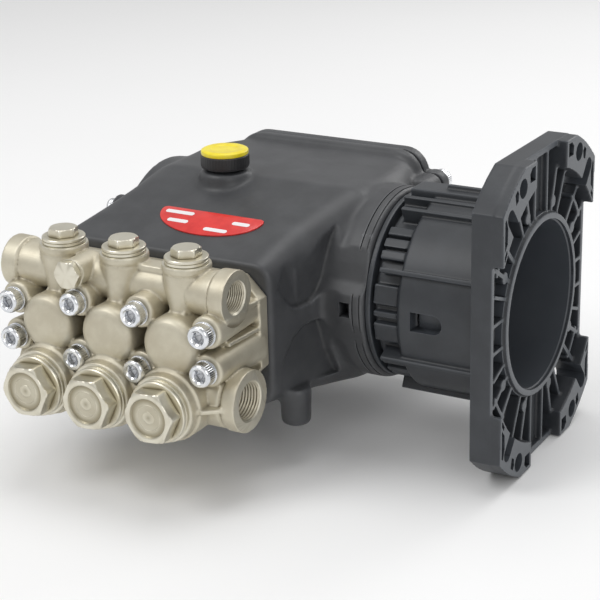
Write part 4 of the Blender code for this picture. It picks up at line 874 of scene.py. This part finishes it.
def make_rear_cover():
    front, back = 0.0634, 0.0709
    outline = rounded(CASE_X - 0.064, CASE_X + 0.064, CASE_BOTTOM - 0.003, CASE_TOP + 0.003, 0.0155)
    forms = [plate("Y", front, back, outline),
             plate("Y", back - 0.001, back + 0.003,
                   rounded(CASE_X - 0.050, CASE_X + 0.050, CASE_BOTTOM + 0.011, CASE_TOP - 0.011, 0.010)),
             rod("Y", back - 0.003, back + 0.006, (CASE_X, 0, -0.006), 0.0155),
             rod("Y", back - 0.003, back + 0.006, (CASE_X, 0, -0.042), 0.0115)]
    for _, _, x, z in lug_places():
        forms.append(rod("Y", front, back + 0.0008, (x, 0, z), 0.0085))
    for turn_by in (-35, 0, 35):
        rib = block((CASE_X - 0.0014, back, 0.014), (CASE_X + 0.0014, back + 0.0055, 0.043))
        forms.append(turn(rib, "Y", math.radians(turn_by), (CASE_X, 0, -0.006)))
    cover = emit("rear_cover_casting", gathered(forms))
    skin(cover, 0.0009, 5)
    cuts = [block((CASE_X - 0.1, front - 0.01, -0.1), (CASE_X + 0.1, front + 0.0002, 0.1)),
            rod("Y", back + 0.001, back + 0.009, (CASE_X, 0, -0.006), 0.0118)]
    for form in cuts:
        cut(cover, [form])
    fit_out(cover, CASE_BLACK, nodes=["rear_cover"], angle=38)
    glass = lathe("Y", eased([(0, back + 0.0013), (0.0115, back + 0.0013), (0.0115, back + 0.0060),
                              (0.0095, back + 0.0068), (0.0088, back + 0.0052), (0, back + 0.0050)], 0.0004, 2),
                  (CASE_X, 0, -0.006))
    fit_out(emit("sight_glass_window", glass), WINDOW, nodes=["sight_glass"])
    seat = back + 0.0063
    hexa = hexagon(0.0140)
    rings = [(0, seat - 0.006), (0.0065, seat - 0.006), (0.0065, seat), (0.0100, seat), (0.0105, seat + 0.0004),
             (0.0105, seat + 0.0016), (0.0100, seat + 0.0020), (within(hexa, 0.0078), seat + 0.0020),
             (hexa, seat + 0.0026), (hexa, seat + 0.0066), (within(hexa, 0.0073), seat + 0.0076), (0, seat + 0.0078)]
    fit_out(emit("drain_plug_hexagon", lathe("Y", rings, (CASE_X, 0, -0.042))), ZINC,
            nodes=["drain_plug"], angle=26)
    for number, (sx, sz) in enumerate(((1, 1), (-1, 1), (-1, -1), (1, -1)), 1):
        centre = (CASE_X + sx * 0.0685, 0, sz * 0.040)
        socket_screw(f"rear_cover_screw_{number}_knurled", "Y", back + 0.0011, 1, centre, 0.0065, 0.0080, 0.0060,
                     [f"rear_cover_screw_{number}"], shank=0.006)
        washer(f"rear_cover_screw_{number}_washer", "Y", back + 0.0009, 1, centre, 0.0076, 0.0045, 0.0012)


def make_bearing_cover():
    face, seat, screws_r = -0.268, -0.2540, 0.0425
    places = [(screws_r * math.cos(math.radians(a)), screws_r * math.sin(math.radians(a))) for a in (135, 255, 15)]
    forms = [rod("X", face, seat, (0, 0, 0), 0.036, sides=128),
             rod("X", seat - 0.005, seat, (0, 0, 0), 0.040, sides=128)]
    for y, z in places:
        forms.append(rod("X", face, seat, (0, y, z), 0.008))
    for k in range(6):
        rib = block((face + 0.0008, -0.0012, 0.010), (face + 0.004, 0.0012, 0.030))
        forms.append(turn(rib, "X", math.radians(60 * k)))
    cover = emit("bearing_cover_casting", gathered(forms))
    skin(cover, 0.0008, 5)
    dish = lathe("X", [(0.0, face - 0.002), (0.0265, face - 0.002), (0.0265, face + 0.0015), (0.0, face + 0.0015)],
                 (0, 0, 0))
    cut(cover, [dish])
    fit_out(cover, CASE_BLACK, nodes=["bearing_cover"], angle=38)
    for number, (y, z) in enumerate(places, 1):
        socket_screw(f"bearing_cover_screw_{number}_knurled", "X", face - 0.0001, -1, (0, y, z), 0.0050, 0.0060,
                     0.0050, [f"bearing_cover_screw_{number}"], shank=0.006, shank_r=0.003)


# ---------------------------------------------------------------- oil cap and name plate
def make_oil_cap():
    seat = CASE_TOP + 0.0043
    grip = knurl(0.0143, 0.00035, 48)
    rings = [(0, seat - 0.010), (0.0092, seat - 0.010), (0.0092, seat), (0.0130, seat), (0.0138, seat + 0.0004),
             (0.0141, seat + 0.0012), (grip, seat + 0.0018), (grip, seat + 0.0070), (0.0141, seat + 0.0076),
             (0.0136, seat + 0.0080), (0, seat + 0.0080)]
    centre = (*FILLER_PLACE, 0)
    fit_out(emit("oil_cap_grip", lathe("Z", rings, centre, 144)), KNOB_BLACK,
            nodes=["oil_cap"], angle=35)
    low = seat + 0.0080
    disc = eased([(0, low), (0.0139, low), (0.0139, low + 0.0024), (0.0120, low + 0.0032), (0.0085, low + 0.0030),
                  (0.0078, low + 0.0025), (0, low + 0.0025)], 0.0006, 4)
    fit_out(emit("oil_cap_yellow_disc", lathe("Z", disc, centre)), YELLOW,
            nodes=["oil_cap_disc"])


PLATE_X, PLATE_Y = -0.1810, -0.060


def plate_outline(half, depth, steps=48):
    """Half oval with a straight upper edge and rounded ends, as (x, y) before it is laid on the slope."""
    points = []
    for i in range(steps + 1):
        a = math.pi * i / steps
        points.append((half * math.cos(a), -depth * math.sin(a)))
    top = [(-half * 0.985, 0.0016), (-half * 0.93, 0.0026), (half * 0.93, 0.0026), (half * 0.985, 0.0016)]
    return points + top


def on_slope(form):
    tilt = math.atan2(CASE_TOP - NECK_TOP, SHOULDER_Y - HEAD_JOINT_Y)
    form.transform(Matrix.Translation((PLATE_X, PLATE_Y, slope(PLATE_Y, NECK_TOP, CASE_TOP)))
                   @ Matrix.Rotation(tilt, 4, "X"))
    return form


def make_name_plate():
    """Blank plate with four plain white fields and no lettering."""
    base = emit("name_plate_red_field", on_slope(plate("Z", -0.0002, 0.0008, plate_outline(0.0335, 0.0190))))
    fit_out(base, RED, nodes=["name_plate"], bevel=0.0003)
    bars = []
    for x, y, half in ((-0.0205, -0.0018, 0.0094), (-0.0175, -0.0096, 0.0068), (0.0215, -0.0046, 0.0056),
                       (0.0095, -0.0132, 0.0076)):
        outline = rounded(x - half, x + half, y - 0.00150, y + 0.00150, 0.0014, 5)
        bars.append(on_slope(plate("Z", 0.0006, 0.00092, outline)))
    fit_out(emit("name_plate_white_fields", gathered(bars)), WHITE)


# ---------------------------------------------------------------- bell housing
FLANGE_W, FLANGE_H, FLANGE_R = 0.0672, 0.0893, 0.097
FLANGE_BACK = -0.018
FLOOR_X = -0.0135
BORE_R = 0.0478
RING_R = 0.0524
LUG_R, LUG_Y, LUG_Z = 0.077, 0.022, 0.042
LUG_INSET = 0.0003           # a lug stops this far inside the flange's outline
BOLT_ANGLE, BOLT_CIRCLE_R, BOLT_R = 27.5, 0.0885, 0.0053
SLOT_ANGLE, SLOT_OUTER_R, SLOT_HALF = 40.5, 0.0875, 0.0046
NECK_X = -0.0655             # where the barrel steps down to its neck
NECK_START = -0.0825
QUADRANTS = [(sy, sz) for sy in (1, -1) for sz in (1, -1)]


def flange_outline(inset=0.0):
    w, h, r = FLANGE_W - inset, FLANGE_H - inset, FLANGE_R - inset
    low = math.degrees(math.acos(w / r))
    high = math.degrees(math.asin(h / r))
    points = []
    for base, flip in ((0, 1), (180, -1), (180, 1), (360, -1)):
        first, last = (low, high) if flip > 0 else (high, low)
        points += arc(0, 0, r, base + flip * first, base + flip * last, 10)
    return points


def lug_outline(sy, sz):
    """A corner lug: arc towards the bore, two straight sides and the flange's own corner, as (y, z)."""
    high, low = math.degrees(math.acos(LUG_Y / LUG_R)), math.degrees(math.asin(LUG_Z / LUG_R))
    corner_low = math.degrees(math.acos(FLANGE_W / FLANGE_R))
    corner_high = math.degrees(math.asin(FLANGE_H / FLANGE_R))
    points = arc(0, 0, LUG_R, low, high, 10)
    points.append((LUG_Y, FLANGE_H - LUG_INSET))
    points += arc(0, 0, FLANGE_R - LUG_INSET, corner_high, corner_low, 8)
    points.append((FLANGE_W - LUG_INSET, LUG_Z))
    return [(sy * y, sz * z) for y, z in points]


def spoke(angle, r0, r1, half, x0, x1):
    """A block in the plane of the shaft from r0 to r1, at an angle from +Z towards +Y."""
    return turn(block((x0, -half, r0), (x1, half, r1)), "X", -angle)


def toward(sy, sz, degrees):
    return math.atan2(sy * math.sin(math.radians(degrees)), sz * math.cos(math.radians(degrees)))


def polar(angle, radius):
    return radius * math.sin(angle), radius * math.cos(angle)


def strip(points, half, x0, x1):
    """A wall of constant thickness along a line of (y, z) points."""
    forms = []
    for a, b in zip(points, points[1:]):
        a, b = Vector(a), Vector(b)
        side = Vector((-(b - a).y, (b - a).x)).normalized() * half
        ahead = (b - a).normalized() * half * 0.4
        forms.append(plate("X", x0, x1, [tuple(a - ahead + side), tuple(b + ahead + side), tuple(b + ahead - side),
                                         tuple(a - ahead - side)]))
    return forms


def flange_walls():
    """Everything that stands on the flange's recessed floor."""
    low = FLOOR_X - 0.002
    walls = [plate("X", low, LAND_X, flange_outline(), flange_outline(0.0036)),
             plate("X", low, LAND_X, circle(RING_R, 128), circle(BORE_R - 0.001, 128))]
    for sy, sz in QUADRANTS:
        walls.append(plate("X", low, 0.0, lug_outline(sy, sz)))
        for degrees, reach, half in ((17.0, 0.0785, 0.0013), (27.5, 0.0785, 0.0011), (46.0, 0.0785, 0.0014),
                                     (58.0, 0.0740, 0.0013), (69.0, 0.0670, 0.0011)):
            walls.append(spoke(toward(sy, sz, degrees), RING_R - 0.001, reach, half, low, LAND_X))
        for degrees in (18.5, 58.0):
            y, z = polar(math.radians(degrees), 0.0578)
            walls.append(rod("X", low, LAND_X, (0, sy * y, sz * z), 0.0034, sides=32))
        curve = [(sy * y, sz * z) for y, z in arc(0, 0, 0.0695, 30, 46, 6)]
        walls += strip(curve, 0.0012, low, LAND_X)
        for (ya, yb), (za, zb) in (((0.0076, 0.0098), (RING_R * 0.985, FLANGE_H - 0.0005)),
                                   ((RING_R * 0.985, FLANGE_W - 0.0005), (0.0068, 0.0090))):
            y0, y1 = sorted((sy * ya, sy * yb))
            z0, z1 = sorted((sz * za, sz * zb))
            walls.append(block((low, y0, z0), (LAND_X, y1, z1)))
    for sz in (1, -1):
        z0, z1 = sorted((sz * (RING_R - 0.002), sz * (FLANGE_H - 0.0002)))
        walls.append(block((low, -0.0085, z0), (-0.0097, 0.0085, z1)))
    for sy in (1, -1):
        y0, y1 = sorted((sy * (RING_R - 0.002), sy * (FLANGE_W - 0.0002)))
        walls.append(block((low, y0, -0.0075), (-0.0110, y1, 0.0075)))
    return walls


def lug_pocket_outlines():
    """Lightening pockets of one corner lug, as (y, z)."""
    return [
        [(0.0245, 0.0790), (0.0315, 0.0790), (0.0322, 0.0840), (0.0290, 0.0868), (0.0245, 0.0868)],
        [(0.0475, 0.0735), (0.0505, 0.0718), (0.0520, 0.0775), (0.0490, 0.0798), (0.0470, 0.0775)],
        [(0.0612, 0.0540), (0.0648, 0.0500), (0.0648, 0.0665), (0.0630, 0.0680), (0.0608, 0.0620)],
        [(0.0640, 0.0450), (0.0648, 0.0450), (0.0648, 0.0478), (0.0622, 0.0510), (0.0612, 0.0490)],
    ]


def flange_cuts():
    cuts = []
    for sy, sz in QUADRANTS:
        y, z = polar(math.radians(BOLT_ANGLE), BOLT_CIRCLE_R)
        cuts.append(rod("X", FLANGE_BACK - OVER, OVER, (0, sy * y, sz * z), BOLT_R, sides=48))
        y, z = polar(math.radians(SLOT_ANGLE), SLOT_OUTER_R)
        cuts.append(rod("X", FLANGE_BACK - OVER, OVER, (0, sy * y, sz * z), SLOT_HALF, sides=48))
        cuts.append(spoke(toward(sy, sz, SLOT_ANGLE), 0.0695, SLOT_OUTER_R, SLOT_HALF, FLANGE_BACK - OVER, OVER))
        for outline in lug_pocket_outlines():
            cuts.append(plate("X", FLOOR_X, OVER, [(sy * a, sz * b) for a, b in outline]))
    return cuts


def bell_shell():
    """The turned body of the bell: flange mouth, barrel wall, neck, spigot and floor."""
    start = -0.0877
    rings = [(BORE_R, -0.004), (BORE_R + 0.004, -0.004), (BORE_R + 0.004, FLANGE_BACK + 0.002),
             (0.057, FLANGE_BACK + 0.002), (0.057, NECK_X), (0.0545, -0.0675), (0.0500, -0.0680),
             (0.0498, NECK_START), (0.0470, NECK_START), (0.0470, -0.0847), (0.0537, -0.0847), (0.0537, start),
             (0.020, start), (0.020, start + 0.008), (0.0425, start + 0.008), (0.0425, -0.066), (0.0470, -0.060),
             (BORE_R, -0.058), (BORE_R, -0.022)]
    return lathe("X", rings, (0, 0, 0), 160)


def barrel_forms():
    """Ribs and pads on the outside of the barrel and its neck."""
    start, end, foot = NECK_START, FLANGE_BACK + 0.001, 0.048
    forms = []
    for side in (1, -1):
        for degrees in (26, 64, 116, 154):
            forms.append(spoke(math.radians(degrees * side), foot, 0.0600, 0.0013, start + 0.004, end))
        for degrees, half in ((38, 0.0026), (46, 0.0026), (54, 0.0026), (78, 0.0055), (90, 0.0016), (102, 0.0055),
                              (126, 0.0030), (138, 0.0026), (146, 0.0026), (16, 0.0030)):
            forms.append(spoke(math.radians(degrees * side), foot, 0.0536, half, start, NECK_X))
        for degrees in (14, 166):
            forms.append(spoke(math.radians(degrees * side), foot, 0.0588, 0.0014, start, end))
    for degrees in (0, 180):
        forms.append(spoke(math.radians(degrees), foot, 0.0600, 0.0085, start + 0.001, end))
        forms.append(spoke(math.radians(degrees), foot, 0.0625, 0.0014, -0.062, end))
    return forms


def make_bell():
    forms = [bell_shell(), plate("X", FLANGE_BACK, FLOOR_X, flange_outline(), circle(BORE_R + 0.001, 128))]
    forms += flange_walls() + barrel_forms()
    bell = emit("bell_casting", gathered(forms))
    skin(bell, 0.00062, 3)
    window = [(-0.0585, -0.0055)] + arc(-0.045, 0, 0.0055, -90, 90, 16) + [(-0.0585, 0.0055)]
    for form in flange_cuts():
        cut(bell, [form])
    for side in (1, -1):
        cut(bell, [plate("Y", side * 0.040, side * 0.066, window)])
    cut(bell, [rod("X", -0.0560, 0.002, (0, 0, 0), BORE_R + 0.0006, sides=160)])
    top, end = LAND_X + 0.0002, -0.0565
    rings = [(BORE_R, end), (BORE_R, top - 0.0007), (BORE_R + 0.0006, top), (RING_R - 0.0004, top),
             (RING_R + 0.0002, top - 0.0006), (RING_R + 0.0002, FLOOR_X - 0.0005),
             (BORE_R + 0.0012, FLOOR_X - 0.0005), (BORE_R + 0.0012, end)]
    fit_out(emit("bell_turned_bore", lathe("X", rings, (0, 0, 0), 160)), BELL_BLACK,
            angle=30)
    fit_out(bell, BELL_BLACK, nodes=["bell_housing"], angle=38)


# ---------------------------------------------------------------- shaft end in the bell
def make_coupling():
    start, length, radius = -0.078, 0.026, 0.022
    bore, end = 0.0123, start + length
    rings = eased([(bore, start), (radius, start), (radius, end), (bore, end)], 0.0010, 3)
    hub = emit("coupling_hub_turned", lathe("X", rings, (0, 0, 0)))
    for i in range(3):
        jaw = block((end - 0.001, -0.006, 0.0130), (end + 0.010, 0.006, radius - 0.0010))
        turn(jaw, "X", math.radians(60 + 120 * i))
        cut(hub, [jaw], "UNION", "EXACT")
    cut(hub, [block((start - 0.001, -0.0043, 0.0), (end + 0.012, 0.0043, 0.0153))], solver="EXACT")
    fit_out(hub, STEEL, body="crankshaft", nodes=["coupling_hub"], bevel=0.0004)


def finish_inner_pieces():
    """Carried-over nodes keep their shape and take the finishes of this file."""
    wearing = {"crankshaft": STEEL, "shaft_key": STEEL, "bearing": STEEL, "wrist_pin": STEEL,
               "plunger_guide": STEEL, "suction_valve": STEEL, "delivery_valve": STEEL, "con_rod": ALLOY,
               "ceramic_plunger": CERAMIC, "shaft_seal": RUBBER, "seal_pack": RUBBER, "rear_cover_gasket": RUBBER}
    for node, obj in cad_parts.items():
        for start, material in wearing.items():
            if node.startswith(start) and node != "bearing_cover":
                for carrier in obj.material_slots:
                    carrier.material = material


# ---------------------------------------------------------------- stage
def make_stage():
    floor = emit("floor", plate("Z", -0.0915, -0.0895, [(-8, -8), (8, -8), (8, 8), (-8, 8)]))
    f = Finish("pale_floor", 0.0)
    haze = f.grain(3, 3)
    tint = f.blend(haze, (0.90, 0.90, 0.90), (0.92, 0.92, 0.92))
    floor.data.materials.append(f.finished(tint, 0.75 + 0.1 * haze))
    world = bpy.data.worlds.new("studio")
    bpy.context.scene.world = world
    world.use_nodes = True
    sky = world.node_tree.nodes["Background"]
    sky.inputs["Color"].default_value = (1.0, 1.0, 1.0, 1.0)
    sky.inputs["Strength"].default_value = 0.56
    target = Vector((-0.13, -0.03, 0.0))
    for name, place, size, power in (("key_light", (-0.9, -1.0, 1.4), 0.9, 9.5),
                                     ("fill_light", (1.3, -1.2, 0.9), 1.0, 6),
                                     ("top_light", (-0.1, 0.3, 1.7), 1.2, 9),
                                     ("rim_light", (0.2, 1.5, 0.9), 0.8, 5)):
        lamp = bpy.data.lights.new(name, "AREA")
        lamp.shape = "DISK"
        lamp.size = size
        lamp.energy = power
        holder = bpy.data.objects.new(name, lamp)
        holder.location = place
        holder.rotation_euler = (target - Vector(place)).to_track_quat("-Z", "Y").to_euler()
        bpy.context.scene.collection.objects.link(holder)


def make_camera():
    """Long lens from the front right, a little above the pump."""
    yaw, pitch, roll = math.radians(27.77), math.radians(18.26), math.radians(-0.65)
    lens = bpy.data.cameras.new("camera")
    lens.sensor_width = 36.0
    lens.lens = 100.6
    lens.shift_x, lens.shift_y = -0.108, -0.0966
    lens.clip_start, lens.clip_end = 0.01, 50.0
    camera = bpy.data.objects.new("camera", lens)
    right = Vector((math.cos(yaw), math.sin(yaw), 0))
    ahead = Vector((-math.sin(yaw) * math.cos(pitch), math.cos(yaw) * math.cos(pitch), -math.sin(pitch)))
    up = right.cross(ahead)
    turned = Matrix((right, up, -ahead)).transposed().to_4x4()
    camera.matrix_world = Matrix.Translation((0.3169, -0.8212, 0.3268)) @ turned @ Matrix.Rotation(roll, 4, "Z")
    bpy.context.scene.collection.objects.link(camera)
    bpy.context.scene.camera = camera


bpy.context.scene.view_settings.view_transform = "Standard"
make_camera()
make_stage()
make_head()
for index, plunger_x in enumerate(PLUNGER_X, 1):
    make_suction_cap(index, plunger_x)
    make_delivery_plug(index, plunger_x)
make_gauge_plug()
make_head_screws()
make_crankcase()
make_rear_cover()
make_bearing_cover()
make_oil_cap()
make_name_plate()
make_bell()
make_coupling()
finish_inner_pieces()
